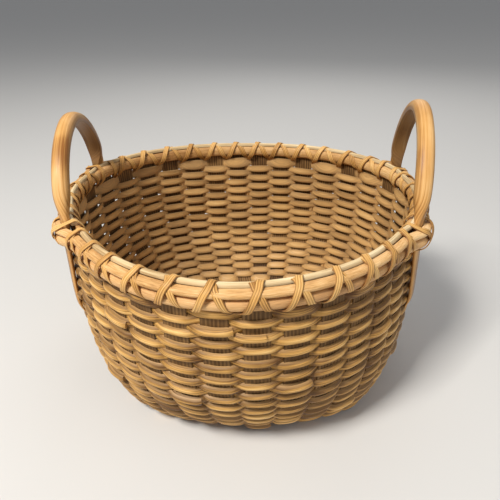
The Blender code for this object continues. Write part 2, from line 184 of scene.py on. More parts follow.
class Sketch:
    """Adds nodes to a tree and wires them with short calls."""

    def __init__(self, tree: bpy.types.NodeTree) -> None:
        """Keep the tree that is drawn in."""
        self.tree = tree

    def feed(self, socket: Socket, value: object) -> None:
        """Link a socket to another one, or set its value.

        Args:
            socket: The socket to be fed.
            value: Another socket, or a plain value.
        """
        if isinstance(value, bpy.types.NodeSocket):
            self.tree.links.new(value, socket)
        else:
            socket.default_value = value

    def add(self, kind: str, inputs: dict | None = None, **settings: object) -> bpy.types.Node:
        """A new node.

        Args:
            kind: Blender's name of the node.
            inputs: Sockets or values by socket name or number.
            **settings: Properties of the node.

        Returns:
            The node.
        """
        node = self.tree.nodes.new(kind)
        for name, value in settings.items():
            setattr(node, name, value)
        for name, value in (inputs or {}).items():
            self.feed(node.inputs[name], value)
        return node

    def maths(self, operation: str, *values: object, clamp: bool = False) -> Socket:
        """Result of a sum on numbers.

        Args:
            operation: Blender's name of the sum.
            *values: Sockets or numbers.
            clamp: Whether the result is kept between zero and one.

        Returns:
            The socket with the result.
        """
        node = self.add("ShaderNodeMath", dict(enumerate(values)), operation=operation)
        node.use_clamp = clamp
        return node.outputs[0]

    def product(self, *values: object) -> Socket:
        """Product of numbers.

        Args:
            *values: Sockets or numbers, multiplied from first to last.

        Returns:
            The socket with the product.
        """
        result = values[0]
        for value in values[1:]:
            result = self.maths("MULTIPLY", result, value)
        return result

    def vectors(self, operation: str, *values: object) -> Socket:
        """Result of a sum on vectors.

        Args:
            operation: Blender's name of the sum.
            *values: Sockets or vectors; SCALE takes a vector and a number.

        Returns:
            The socket with the result.
        """
        node = self.add("ShaderNodeVectorMath", operation=operation)
        sockets = [node.inputs[0], node.inputs[3 if operation == "SCALE" else 1]]
        for socket, value in zip(sockets, values):
            self.feed(socket, value)
        return node.outputs[0]

    def noise(self, place: Socket, **inputs: object) -> Socket:
        """Value of a noise texture.

        Args:
            place: Where the noise is read.
            **inputs: Values or sockets by the texture's socket name.

        Returns:
            The socket with the noise.
        """
        values = {"Vector": place, "Scale": 1.0, **inputs}
        return self.add("ShaderNodeTexNoise", values).outputs[0]


class ReedSweep:
    """The Geometry Nodes tree that sweeps a reed's section along rails."""

    INPUTS = {
        "Rails": "NodeSocketGeometry", "Crown Share": "NodeSocketFloat", "Fullness": "NodeSocketFloat",
        "Ribs": "NodeSocketFloat", "Rib Depth": "NodeSocketFloat", "Wander": "NodeSocketFloat",
        "Wander Length": "NodeSocketFloat", "Crease Angle": "NodeSocketFloat",
        "Profile Points": "NodeSocketInt", "Seed": "NodeSocketInt", "Finish": "NodeSocketMaterial",
    }
    SPENT = ("rail_middle", "rail_across", "rail_outward", "rail_width", "rail_depth", "girth")
    WIDTH_SHIFT = 3.7
    DEPTH_SHIFT = 8.1

    def __init__(self) -> None:
        """Build the tree."""
        self.tree = bpy.data.node_groups.new("reed_sweep", "GeometryNodeTree")
        face = self.tree.interface
        for name, kind in self.INPUTS.items():
            face.new_socket(name=name, in_out="INPUT", socket_type=kind)
        face.new_socket(name="Reed", in_out="OUTPUT", socket_type="NodeSocketGeometry")
        self.sketch = Sketch(self.tree)
        self.given = self.sketch.add("NodeGroupInput").outputs
        self._draw()

    def identifier(self, name: str) -> str:
        """Identifier of a named input."""
        return next(item.identifier for item in self.tree.interface.items_tree
                    if item.name == name and item.in_out == "INPUT")

    def _read(self, name: str, vector: bool = False) -> Socket:
        """A named attribute.

        Args:
            name: Name of the attribute.
            vector: Whether it is a vector, not a number.

        Returns:
            The socket with the attribute.
        """
        kind = "FLOAT_VECTOR" if vector else "FLOAT"
        node = self.sketch.add("GeometryNodeInputNamedAttribute", {"Name": name}, data_type=kind)
        return node.outputs["Attribute"]

    def _store(self, geometry: Socket, name: str, value: Socket, kind: str = "FLOAT",
               domain: str = "POINT") -> Socket:
        """Geometry with a named attribute added.

        Args:
            geometry: The geometry.
            name: Name of the attribute.
            value: What is stored.
            kind: Blender's name of the attribute's type.
            domain: Whether it is stored on points or corners.

        Returns:
            The socket with the new geometry.
        """
        node = self.sketch.add("GeometryNodeStoreNamedAttribute", {"Geometry": geometry, "Name": name},
                               data_type=kind, domain=domain)
        self.sketch.feed(node.inputs["Value"], value)
        return node.outputs["Geometry"]

    def _section(self) -> Socket:
        """The reed's section: a crown over a flat back, with its places stored on it.

        Returns:
            The socket with the section's curve.
        """
        maths = self.sketch.maths
        circle = self.sketch.add("GeometryNodeCurvePrimitiveCircle",
                                 {"Resolution": self.given["Profile Points"], "Radius": 1.0}, mode="RADIUS")
        factor = self.sketch.add("GeometryNodeSplineParameter").outputs["Factor"]
        share = self.given["Crown Share"]
        crown = maths("DIVIDE", factor, share, clamp=True)
        angle = maths("MULTIPLY", crown, math.pi)
        back = maths("DIVIDE", maths("MAXIMUM", maths("SUBTRACT", factor, share), 0.0),
                     maths("SUBTRACT", 1.0, share))
        rise = maths("MULTIPLY_ADD", back, 2.0, maths("COSINE", angle))
        height = maths("MAXIMUM", maths("SINE", angle), 0.0)
        lift = maths("POWER", height, self.given["Fullness"])
        ribs = maths("COSINE", self.sketch.product(rise, self.given["Ribs"], math.pi))
        ribbed = self.sketch.product(ribs, self.given["Rib Depth"], height)
        section = self._store(circle.outputs["Curve"], "edge", rise)
        section = self._store(section, "crown", maths("ADD", lift, ribbed))
        return self._store(section, "girth", factor)

    def _uneven(self, shift: float) -> Socket:
        """A slow change of size along the reed, around one.

        Args:
            shift: Place in the noise, which differs for width and depth.

        Returns:
            The socket with the change.
        """
        maths = self.sketch.maths
        along = maths("DIVIDE", self._read("run"), self.given["Wander Length"])
        place = self.sketch.add("ShaderNodeCombineXYZ", {"X": along, "Y": self.given["Seed"], "Z": shift})
        centred = maths("SUBTRACT", self.sketch.noise(place.outputs[0], Detail=1.0), 0.5)
        return maths("MULTIPLY_ADD", centred, self.given["Wander"], 1.0)

    def _place(self) -> Socket:
        """Where a point of the section goes: out from the rail's middle, sideways and outwards.

        Returns:
            The socket with the place.
        """
        product, vectors = self.sketch.product, self.sketch.vectors
        half = product(self._read("rail_width"), 0.5, self._uneven(self.WIDTH_SHIFT))
        depth = product(self._read("rail_depth"), self._uneven(self.DEPTH_SHIFT))
        centred = self.sketch.maths("SUBTRACT", self._read("crown"), 0.5)
        sideways = vectors("SCALE", self._read("rail_across", True), product(self._read("edge"), half))
        outwards = vectors("SCALE", self._read("rail_outward", True), product(centred, depth))
        return vectors("ADD", vectors("ADD", self._read("rail_middle", True), sideways), outwards)

    def _shaded(self, shape: Socket) -> Socket:
        """Geometry shaded smooth, with sharp edges where its faces meet at a crease.

        Args:
            shape: The swept geometry.

        Returns:
            The socket with the shaded geometry.
        """
        angle = self.sketch.add("GeometryNodeInputMeshEdgeAngle").outputs["Unsigned Angle"]
        crease = self.sketch.add("FunctionNodeCompare", {"A": angle, "B": self.given["Crease Angle"]},
                                 data_type="FLOAT", operation="GREATER_THAN").outputs["Result"]
        smooth = self.sketch.add("GeometryNodeSetShadeSmooth", {"Geometry": shape, "Shade Smooth": True},
                                 domain="FACE").outputs[0]
        sharp = self.sketch.add("GeometryNodeSetShadeSmooth",
                                {"Geometry": smooth, "Selection": crease, "Shade Smooth": False},
                                domain="EDGE")
        return sharp.outputs[0]

    def _draw(self) -> None:
        """Wire the tree from rails to finished reed."""
        sketch = self.sketch
        curve = sketch.add("GeometryNodeMeshToCurve", {"Mesh": self.given["Rails"]}).outputs["Curve"]
        swept = sketch.add("GeometryNodeCurveToMesh",
                           {"Curve": curve, "Profile Curve": self._section(), "Fill Caps": True})
        shape = sketch.add("GeometryNodeSetPosition",
                           {"Geometry": swept.outputs["Mesh"], "Position": self._place()}).outputs["Geometry"]
        around = sketch.product(self._read("girth"), sketch.product(self._read("rail_width"), 2.0))
        chart = sketch.add("ShaderNodeCombineXYZ", {"X": self._read("run"), "Y": around, "Z": 0.0})
        shape = self._store(shape, "UVMap", chart.outputs[0], "FLOAT2", "CORNER")
        clean = self._shaded(shape)
        for name in self.SPENT:
            clean = sketch.add("GeometryNodeRemoveAttribute", {"Geometry": clean, "Name": name}).outputs[0]
        real = sketch.add("GeometryNodeRealizeInstances", {"Geometry": clean}).outputs[0]
        dressed = sketch.add("GeometryNodeSetMaterial", {"Geometry": real, "Material": self.given["Finish"]})
        out = sketch.add("NodeGroupOutput")
        sketch.feed(out.inputs["Reed"], dressed.outputs[0])


@dataclass
class Rail:
    """A curve that a strip of reed follows, with the strip's size and directions."""

    middle: Array
    across: Array
    outward: Array
    width: Array | float
    depth: Array | float
    tone: Array
    age: Array | float = 0.0
    start: float = 0.0

    def __post_init__(self) -> None:
        """Spread each value that is the same all along over the rail's points."""
        for name in ("width", "depth", "age"):
            setattr(self, name, np.zeros(len(self.middle)) + getattr(self, name))

    @property
    def run(self) -> Array:
        """Length along the rail at each point."""
        steps = np.linalg.norm(np.diff(self.middle, axis=0), axis=1)
        return self.start + np.concatenate([[0.0], np.cumsum(steps)])


@dataclass(frozen=True)
class Section:
    """Shape of a reed's section and its unevenness."""

    points: int
    crown_share: float = 0.75
    fullness: float = 0.8
    ribs: float = 0.0
    rib_depth: float = 0.0
    wander: float = 0.1
    wander_length: float = 0.05
    crease_angle: float = 0.9


class Workshop:
    """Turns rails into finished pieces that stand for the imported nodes."""

    VECTORS = {"rail_middle": "middle", "rail_across": "across", "rail_outward": "outward"}
    NUMBERS = {"rail_width": "width", "rail_depth": "depth", "tone": "tone", "age": "age", "run": "run"}

    def __init__(self, finishes: dict[Slot, bpy.types.Material]) -> None:
        """Build the sweep's tree and keep the finishes.

        Args:
            finishes: Material of each slot.
        """
        self.sweep = ReedSweep()
        self.finishes = finishes
        self.count = 0

    def _rail_mesh(self, name: str, rails: list[Rail]) -> bpy.types.Mesh:
        """A mesh of edges with the rails' values as attributes.

        Args:
            name: Name of the mesh.
            rails: The rails.

        Returns:
            The mesh.
        """
        mesh = bpy.data.meshes.new(name)
        first = 0
        edges: list[tuple[int, int]] = []
        for rail in rails:
            count = len(rail.middle)
            edges += [(first + index, first + index + 1) for index in range(count - 1)]
            first += count
        places = np.concatenate([rail.middle for rail in rails])
        mesh.from_pydata(places.tolist(), edges, [])
        for labels, kind, key in ((self.VECTORS, "FLOAT_VECTOR", "vector"), (self.NUMBERS, "FLOAT", "value")):
            for label, values in labels.items():
                layer = mesh.attributes.new(label, kind, "POINT")
                rows = np.concatenate([getattr(rail, values) for rail in rails])
                layer.data.foreach_set(key, rows.ravel())
        return mesh

    @staticmethod
    def _turn_out(mesh: bpy.types.Mesh) -> None:
        """Turn the faces outwards where the sweep left them facing in.

        Args:
            mesh: The swept mesh.
        """
        mesh.calc_loop_triangles()
        places = np.empty(len(mesh.vertices) * 3)
        mesh.vertices.foreach_get("co", places)
        corners = np.empty(len(mesh.loop_triangles) * 3, int)
        mesh.loop_triangles.foreach_get("vertices", corners)
        one, two, three = places.reshape(-1, 3)[corners].reshape(-1, 3, 3).transpose(1, 0, 2)
        if np.sum(one * np.cross(two, three)) < 0:
            mesh.flip_normals()

    def make(self, node: str, slot: Slot, rails: list[Rail], section: Section) -> None:
        """Sweep a piece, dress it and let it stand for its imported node.

        Args:
            node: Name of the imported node; the piece takes it with a prefix.
            slot: Material slot of the piece.
            rails: The curves that the piece's strips follow.
            section: The strips' section.
        """
        piece = bpy.data.objects.new("reed_" + node, self._rail_mesh(node + "_rails", rails))
        bpy.context.scene.collection.objects.link(piece)
        modifier = piece.modifiers.new("sweep", "NODES")
        modifier.node_group = self.sweep.tree
        self.count += 1
        values = {
            "Crown Share": section.crown_share, "Fullness": section.fullness, "Ribs": section.ribs,
            "Rib Depth": section.rib_depth, "Wander": section.wander,
            "Wander Length": section.wander_length, "Crease Angle": section.crease_angle,
            "Profile Points": section.points, "Seed": self.count, "Finish": self.finishes[slot],
        }
        for name, value in values.items():
            modifier[self.sweep.identifier(name)] = value
        graph = bpy.context.evaluated_depsgraph_get()
        swept = bpy.data.meshes.new_from_object(piece.evaluated_get(graph))
        piece.modifiers.remove(modifier)
        rough = piece.data
        piece.data = swept
        bpy.data.meshes.remove(rough)
        self._turn_out(swept)
        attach(piece, "root")
        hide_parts(node)
        log.info("%s: %d faces", piece.name, len(swept.polygons))


@dataclass(frozen=True)
class Form:
    """Sizes of the basket that its pieces share, in metres."""

    rim_outer_radius: float = 0.1865
    rim_oval: float = 0.0021
    rim_fullness: float = 0.008
    hoop_top: float = 0.192
    base_half_length: float = 0.120
    base_half_width: float = 0.119
    base_roundness: float = 4.4
    base_shift: float = 0.008
    wall_bulge: float = 1.5
    wall_turn: float = 0.5
    wall_belly: float = 0.0122
    belly_fade: float = 1.75
    long_count: int = 10
    cross_count: int = 8
    corner_inset: float = 0.02475
    stake_width: float = 0.017
    stake_thickness: float = 0.0014
    stake_top_drop: float = 0.003
    row_count: int = 28
    first_row_margin: float = 0.0105
    outer_height: float = 0.0175
    outer_thickness: float = 0.0072
    inner_height: float = 0.0130
    inner_thickness: float = 0.0060
    lashing_layer: float = 0.0017
    clearance: float = 0.0003
    weave_gap: float = 0.0007
    leg_thickness: float = 0.0085
    levels: int = 300
    probe: float = 0.002

    @property
    def hoop_bulge(self) -> float:
        """How far the handles' legs push the outer hoop out."""
        return self.leg_thickness + self.clearance

    @property
    def upright_count(self) -> int:
        """Number of turned-up stake ends."""
        return 2 * (self.long_count + self.cross_count)

    @property
    def step(self) -> float:
        """Angle between uprights at the rim."""
        return TURN / self.upright_count

    @property
    def stake_to_hoop(self) -> float:
        """From the stakes' middle to a hoop's flat face."""
        return self.stake_thickness / 2 + self.clearance

    @property
    def crossing(self) -> float:
        """How far the base's stakes lie above or below its middle."""
        return (self.stake_thickness + self.clearance) / 2

    @property
    def base_level(self) -> float:
        """Height of the base's middle."""
        return self.crossing + self.stake_thickness / 2

    @property
    def stake_top(self) -> float:
        """Height of the stakes' ends."""
        return self.hoop_top - self.stake_top_drop

    @property
    def hoop_bottom(self) -> float:
        """Height of the outer hoop's lower edge."""
        return self.hoop_top - self.outer_height

    @property
    def weave_top(self) -> float:
        """Height at which the weaving ends."""
        return self.hoop_bottom - 2 * self.lashing_layer - self.weave_gap

    def pitch(self, long_way: bool) -> float:
        """Distance between the middles of neighbouring stakes in the base.

        Args:
            long_way: Whether the stakes run from front to back.

        Returns:
            The distance.
        """
        half, count = ((self.base_half_length, self.long_count) if long_way
                       else (self.base_half_width, self.cross_count))
        return 2 * (half - self.corner_inset) / (count - 1)

    def rim_plan(self, angles: Array) -> Array:
        """Plan points of the stakes' middles at the rim, with height zero.

        Args:
            angles: Angles round the rim, from the basket's right.

        Returns:
            One point for each angle.
        """
        radius = self.rim_outer_radius - self.outer_thickness - self.stake_to_hoop
        radius = radius + self.rim_oval * np.cos(2 * angles) + self.rim_fullness * np.sin(3 * angles)
        along, across = radius * np.cos(angles), radius * np.sin(angles) + self.rim_fullness
        return np.stack([along, across, np.zeros_like(along)], axis=-1)

    def rim_frame(self, angles: Array) -> tuple[Array, Array]:
        """Plan points at the rim and the directions outwards from it.

        Args:
            angles: Angles round the rim, from the basket's right.

        Returns:
            One point and one direction for each angle.
        """
        small = self.step / self.levels
        tangent = unit(self.rim_plan(angles + small) - self.rim_plan(angles - small))
        return self.rim_plan(angles), np.cross(tangent, UP)


class Wall:
    """The curves of the uprights, in order of their angle at the rim."""

    def __init__(self, form: Form) -> None:
        """Lay out all uprights from the base's edge to the rim.

        Args:
            form: The basket's sizes.
        """
        self.form = form
        places = sorted(self._places(), key=lambda place: place[0] % TURN)
        self.order = {place[3]: position for position, place in enumerate(places)}
        self.angles = np.array([place[0] for place in places])
        edges = np.array([place[1] for place in places]) + np.array((form.base_shift, form.rim_fullness, 0.0))
        outward = np.array([place[2] for place in places])
        shares = (np.linspace(0, 1, form.levels) ** 2)[None, :, None]
        spread = (1 - (1 - shares) ** form.wall_bulge) ** form.wall_turn
        rim = form.rim_plan(self.angles)
        fade = 1 - shares ** form.belly_fade
        belly = unit(rim)[:, None, :] * form.wall_belly * np.sin(math.pi * shares) * fade
        plan = edges[:, None, :] + (rim - edges)[:, None, :] * spread + belly
        heights = form.base_level + (form.stake_top - form.base_level) * shares
        self.points = plan + heights * UP
        steps = np.linalg.norm(np.diff(self.points, axis=1), axis=2)
        self.arcs = np.concatenate([np.zeros((len(places), 1)), np.cumsum(steps, axis=1)], axis=1)
        chord = np.roll(self.points, -1, axis=0) - np.roll(self.points, 1, axis=0)
        chord[..., 2] = 0.0
        turned = np.clip(self.arcs / (form.stake_width / 2), 0, 1)[..., None]
        self.sides = unit(np.cross(UP, outward)[:, None, :] * (1 - turned) + unit(chord) * turned)

    def _places(self) -> list[Upright]:
        """Where the uprights stand.

        Returns:
            Angle, place on the base's edge, outward direction and stake end of each upright.
        """
        form = self.form
        made: list[Upright] = []
        for long_way in (False, True):
            count = form.long_count if long_way else form.cross_count
            across = form.base_half_length if long_way else form.base_half_width
            along = form.base_half_width if long_way else form.base_half_length
            for index in range(count):
                number = index - (count - 1) / 2
                turn = number * form.step
                offset = number * form.pitch(long_way)
                left = 1 - (abs(offset) / across) ** form.base_roundness
                reach = along * left ** (1 / form.base_roundness)
                for end, sign in enumerate((-1.0, 1.0)):
                    if long_way:
                        made.append((sign * (math.pi / 2 - turn), (offset, sign * reach, 0.0),
                                     (0.0, sign, 0.0), (True, index, end)))
                    else:
                        made.append((turn if end else math.pi - turn, (sign * reach, offset, 0.0),
                                     (sign, 0.0, 0.0), (False, index, end)))
        return made

    def at(self, position: int, arcs: Array) -> tuple[Array, Array]:
        """Points and sideways directions of one upright.

        Args:
            position: Number of the upright.
            arcs: Lengths from the base's edge.

        Returns:
            One point and one direction for each length.
        """
        points, sides = (np.stack([np.interp(arcs, self.arcs[position], values[position, :, axis])
                                   for axis in range(3)], axis=-1)
                         for values in (self.points, self.sides))
        return points, unit(sides)

    def arc_at(self, position: int, height: float) -> float:
        """Length of an upright from the base's edge to a height."""
        return float(np.interp(height, self.points[position, :, 2], self.arcs[position]))

    def row_arc(self, position: int, row: int) -> float:
        """Length along an upright at which a row crosses it."""
        top = self.arc_at(position, self.form.weave_top)
        return top - (row + 0.5) * (top - self.form.first_row_margin) / self.form.row_count

    def ring(self, row: int) -> tuple[Array, Array]:
        """Points and upward directions of all uprights where a row crosses them.

        Args:
            row: Number of the row, from the top.

        Returns:
            One point and one direction for each upright.
        """
        probe = self.form.probe
        points, ups = [], []
        for position in range(len(self.angles)):
            arc = self.row_arc(position, row)
            near, _ = self.at(position, np.array([max(arc - probe, 0.0), arc, arc + probe]))
            points.append(near[1])
            ups.append(near[2] - near[0])
        return np.array(points), unit(np.array(ups))


@dataclass(frozen=True)
class Stakes:
    """Flat ribbed stakes, woven in the base and turned up as the wall's uprights."""

    step: float = 0.0030
    turn_blur: float = 1.2
    spread: float = 1.28
    flat_share: float = 0.3
    width_sway: Sway = Sway(0.02, 0, (0.11, 0.23))
    tone_sway: Sway = Sway(0.35, 1, (0.13, 0.31, 0.5))
    cross_seed: int = 500
    long_seed: int = 900
    seed_step: int = 40
    chart_step: float = 0.37
    section: Section = Section(points=36, crown_share=0.72, fullness=0.22, ribs=7.0, rib_depth=0.16,
                               wander=0.06, wander_length=0.04)

    def _base(self, form: Form, long_way: bool, index: int,
              reaches: tuple[float, float]) -> tuple[Array, Array]:
        """Points across the base, over and under the stakes that are met.

        Args:
            form: The basket's sizes.
            long_way: Whether the stake runs from front to back.
            index: Number of the stake.
            reaches: How far it runs from the base's middle, each way.

        Returns:
            The points, and the stake's sideways direction at each.
        """
        own, other = form.pitch(long_way), form.pitch(not long_way)
        own_count, other_count = form.long_count, form.cross_count
        if not long_way:
            own_count, other_count = other_count, own_count
        offset = (index - (own_count - 1) / 2) * own
        way = np.array((0.0, 1.0, 0.0) if long_way else (1.0, 0.0, 0.0))
        side = np.array((1.0, 0.0, 0.0) if long_way else (0.0, -1.0, 0.0))
        places = np.arange(-reaches[0], reaches[1], self.step / 2)[1:]
        number = places / other + (other_count - 1) / 2
        nearest = np.clip(np.round(number), 0, other_count - 1)
        away = np.abs(number - nearest)
        over = np.where((index + nearest) % 2 == 0, 1.0, -1.0) * (1.0 if long_way else -1.0)
        blend = np.clip((0.5 - away) / (0.5 - self.flat_share), 0, 1)
        lift = over * form.crossing * np.sin(blend * math.pi / 2)
        lift[away > 0.5] = 0.0
        origin = np.array((offset if long_way else 0.0, 0.0 if long_way else offset, form.base_level))
        origin[:2] += (form.base_shift, form.rim_fullness)
        return origin + places[:, None] * way + lift[:, None] * UP, np.tile(side, (len(places), 1))

    def _rail(self, wall: Wall, long_way: bool, index: int) -> Rail:
        """One stake's rail, from rim to base to rim.

        Args:
            wall: The uprights that the stake's ends make.
            long_way: Whether the stake runs from front to back.
            index: Number of the stake.

        Returns:
            The stake's rail.
        """
        form = wall.form
        ends = [wall.order[(long_way, index, end)] for end in (0, 1)]
        runs = [np.linspace(0, wall.arcs[end, -1], form.levels) for end in ends]
        first, first_side = wall.at(ends[0], runs[0])
        last, last_side = wall.at(ends[1], runs[1])
        axis = 1 if long_way else 0
        centre = form.rim_fullness if long_way else form.base_shift
        reaches = (centre - first[0][axis], last[0][axis] - centre)
        base, base_side = self._base(form, long_way, index, reaches)
        points = np.concatenate([first[::-1], base, last])
        sides = np.concatenate([first_side[::-1], base_side, -last_side])
        points, sides = resample(points, self.step, sides)
        points = soften(points, self.turn_blur)
        along = unit(np.gradient(points, axis=0))
        across = square_to(sides, along)
        places = np.arange(len(points)) * self.step
        seed = self.seed_step * index + (self.long_seed if long_way else self.cross_seed)
        width = form.stake_width * self.spread * (1 + self.width_sway.at(places, seed))
        tone = PLAIN_TONE + self.tone_sway.at(places, seed)
        return Rail(points, across, np.cross(across, along), width, form.stake_thickness, tone,
                    start=self.chart_step * index)

    def build(self, shop: Workshop, wall: Wall) -> None:
        """Make every stake.

        Args:
            shop: Where the pieces are made.
            wall: The uprights.
        """
        for long_way, word in ((False, "cross"), (True, "long")):
            count = wall.form.long_count if long_way else wall.form.cross_count
            for index in range(count):
                rail = self._rail(wall, long_way, index)
                shop.make(f"{word}_stake_{index + 1:02d}", Slot.STAKE, [rail], self.section)


@dataclass(frozen=True)
class Weaving:
    """Half-round weavers, one ring for each row, over one upright and under the next."""

    height: float = 0.0064
    depth: float = 0.0036
    bulge: float = 0.0004
    inner_growth: float = 0.44
    flat_trim: float = 0.05
    stations: int = 15
    drift: float = 0.0006
    shared_drift: Sway = Sway(1.0, 7, (9.0, 5.1, 14.3))
    slant_drift: Sway = Sway(0.5, 8, (4.3, 7.7))
    slant: float = 3.1
    own_drift: Sway = Sway(0.0004, 60, (2.9, 6.1))
    roll: Sway = Sway(0.12, 300, (3.1, 5.7, 8.9))
    swell: Sway = Sway(0.03, 500, (6.3, 12.1))
    tone_sway: Sway = Sway(0.26, 700, (2.3, 5.3, 17.0))
    plain_tone: float = 0.55
    row_tone: float = 0.16
    row_tone_turn: float = 2.4
    # Painted shade: how much darker a strand is made where it crosses between uprights, and how sharply.
    crossing_painted_shade: float = 0.60
    crossing_shade_power: float = 1.5
    first_lap: int = 3
    lap_stride: int = 11
    lap_end: float = 0.44
    lap_spare: float = 0.06
    lap_ramp: float = 0.6
    lap_rise: float = 0.75
    under_ramp: float = 0.9
    under_sink: float = 0.1
    cut_row: int = 3
    cut_position: int = 27
    cut_end: float = 0.20
    top_rise: float = 0.0020
    top_share: float = 1.5
    top_tone: float = -0.30
    low_drop: float = 0.0014
    low_share: float = 1.35
    chart_step: float = 1.7
    section: Section = Section(points=14, fullness=0.72, wander=0.16, wander_length=0.035, crease_angle=1.0)

    def _start(self, row: int, count: int) -> int:
        """Upright on which a row's two ends lap, one that the row passes outside.

        Args:
            row: Number of the row, from the top.
            count: Number of uprights.

        Returns:
            The upright's number.
        """
        if row == self.cut_row:
            return self.cut_position
        place = (row * self.lap_stride + self.first_lap) % count
        return place if (place + row) % 2 == 0 else (place + 1) % count

    def _offset(self, form: Form, places: Array, row: int, pitch: float) -> Array:
        """How far outside the stakes' middles a row runs.

        Args:
            form: The basket's sizes.
            places: Fractional uprights along the strand.
            row: Number of the row, from the top.
            pitch: Length between two uprights on this row.

        Returns:
            One distance for each place, below zero inside the wall.
        """
        reach = (form.stake_thickness + self.depth) / 2 + form.clearance / 2
        flat = form.stake_width / 2 / pitch - self.flat_trim
        inside = np.mod(places + row, 2.0)
        away = np.where(inside > 1, 2 - inside, inside)
        turned = np.clip((away - flat) / (1 - 2 * flat), 0, 1)
        middle = np.clip(1 - (np.minimum(away, 1 - away) / flat) ** 2, 0, 1)
        return reach * np.cos(math.pi * turned) + self.bulge * middle * np.where(away < 0.5, 1, -1)

    def _edge_row(self, form: Form, row: int) -> tuple[float, float, float]:
        """What sets the top and the lowest row apart, since they close the wall's edges.

        Args:
            form: The basket's sizes.
            row: Number of the row, from the top.

        Returns:
            Shift up the wall, share of the plain height, and change of tone.
        """
        if row == 0:
            return self.top_rise, self.top_share, self.top_tone
        if row == form.row_count - 1:
            return -self.low_drop, self.low_share, 0.0
        return 0.0, 1.0, 0.0

    def _path(self, wall: Wall, row: int, places: Array, start: int) -> tuple[Array, Array, Array]:
        """The way of a row's strand between the uprights.

        Args:
            wall: The uprights.
            row: Number of the row, from the top.
            places: Fractional uprights along the strand.
            start: Upright on which its ends lap.

        Returns:
            Middles, and the strand's sideways and outward directions.
        """
        form = wall.form
        points, ups = wall.ring(row)
        surface = smooth_ring(points, places)
        length = float(np.linalg.norm(np.diff(surface, axis=0), axis=1).sum())
        along = unit(np.gradient(surface, axis=0))
        up = square_to(smooth_ring(ups, places), along)
        out = np.cross(along, up)
        lap = np.clip((places - (start + form.upright_count - 1.0)) / self.lap_ramp, 0, 1)
        lap = lap * lap * (3 - 2 * lap)
        under = np.clip(1 - (places - places[0]) / self.under_ramp, 0, 1)
        offset = self._offset(form, places, row, length / (places[-1] - places[0]))
        offset += lap * self.depth * self.lap_rise
        offset -= under * self.depth * self.under_sink
        drift = self.shared_drift.at(places) + self.slant_drift.at(places + self.slant * row)
        drift = self.drift * drift + self.own_drift.at(places, row)
        drift += self._edge_row(form, row)[0]
        path = surface + out * offset[:, None] + up * drift[:, None]
        along = unit(np.gradient(path, axis=0))
        up = square_to(up, along)
        out = np.cross(along, up)
        roll = self.roll.at(places, row)[:, None]
        return path, up * np.cos(roll) + out * np.sin(roll), out * np.cos(roll) - up * np.sin(roll)

    def _rail(self, wall: Wall, row: int) -> Rail:
        """One row's rail, from its hidden start round to its lapped end.

        Args:
            wall: The uprights.
            row: Number of the row, from the top.

        Returns:
            The row's rail.
        """
        start = self._start(row, wall.form.upright_count)
        first = start - self.lap_end - self.lap_spare
        last = start + wall.form.upright_count + (self.cut_end if row == self.cut_row else self.lap_end)
        places = np.linspace(first, last, int((last - first) * self.stations))
        path, across, outward = self._path(wall, row, places, start)
        _, share, tone_shift = self._edge_row(wall.form, row)
        turned = np.cos(math.pi * (places + row))
        height = self.height * (1 + self.inner_growth * (1 - turned) / 2)
        height *= 1 + self.swell.at(places, row)
        height *= share
        tone = self.plain_tone + self.tone_sway.at(places, row)
        tone += self.row_tone * math.sin(self.row_tone_turn * row)
        # Painted shade: the strand is darkened where it crosses between uprights and dives behind its
        # neighbours.
        tone += tone_shift - self.crossing_painted_shade * (1 - np.abs(turned)) ** self.crossing_shade_power
        return Rail(path, across, outward, height, self.depth, tone, start=self.chart_step * row)

    def build(self, shop: Workshop, wall: Wall) -> None:
        """Make every row."""
        for row in range(wall.form.row_count):
            shop.make(f"weaver_row_{row + 1:02d}", Slot.WEAVER, [self._rail(wall, row)], self.section)


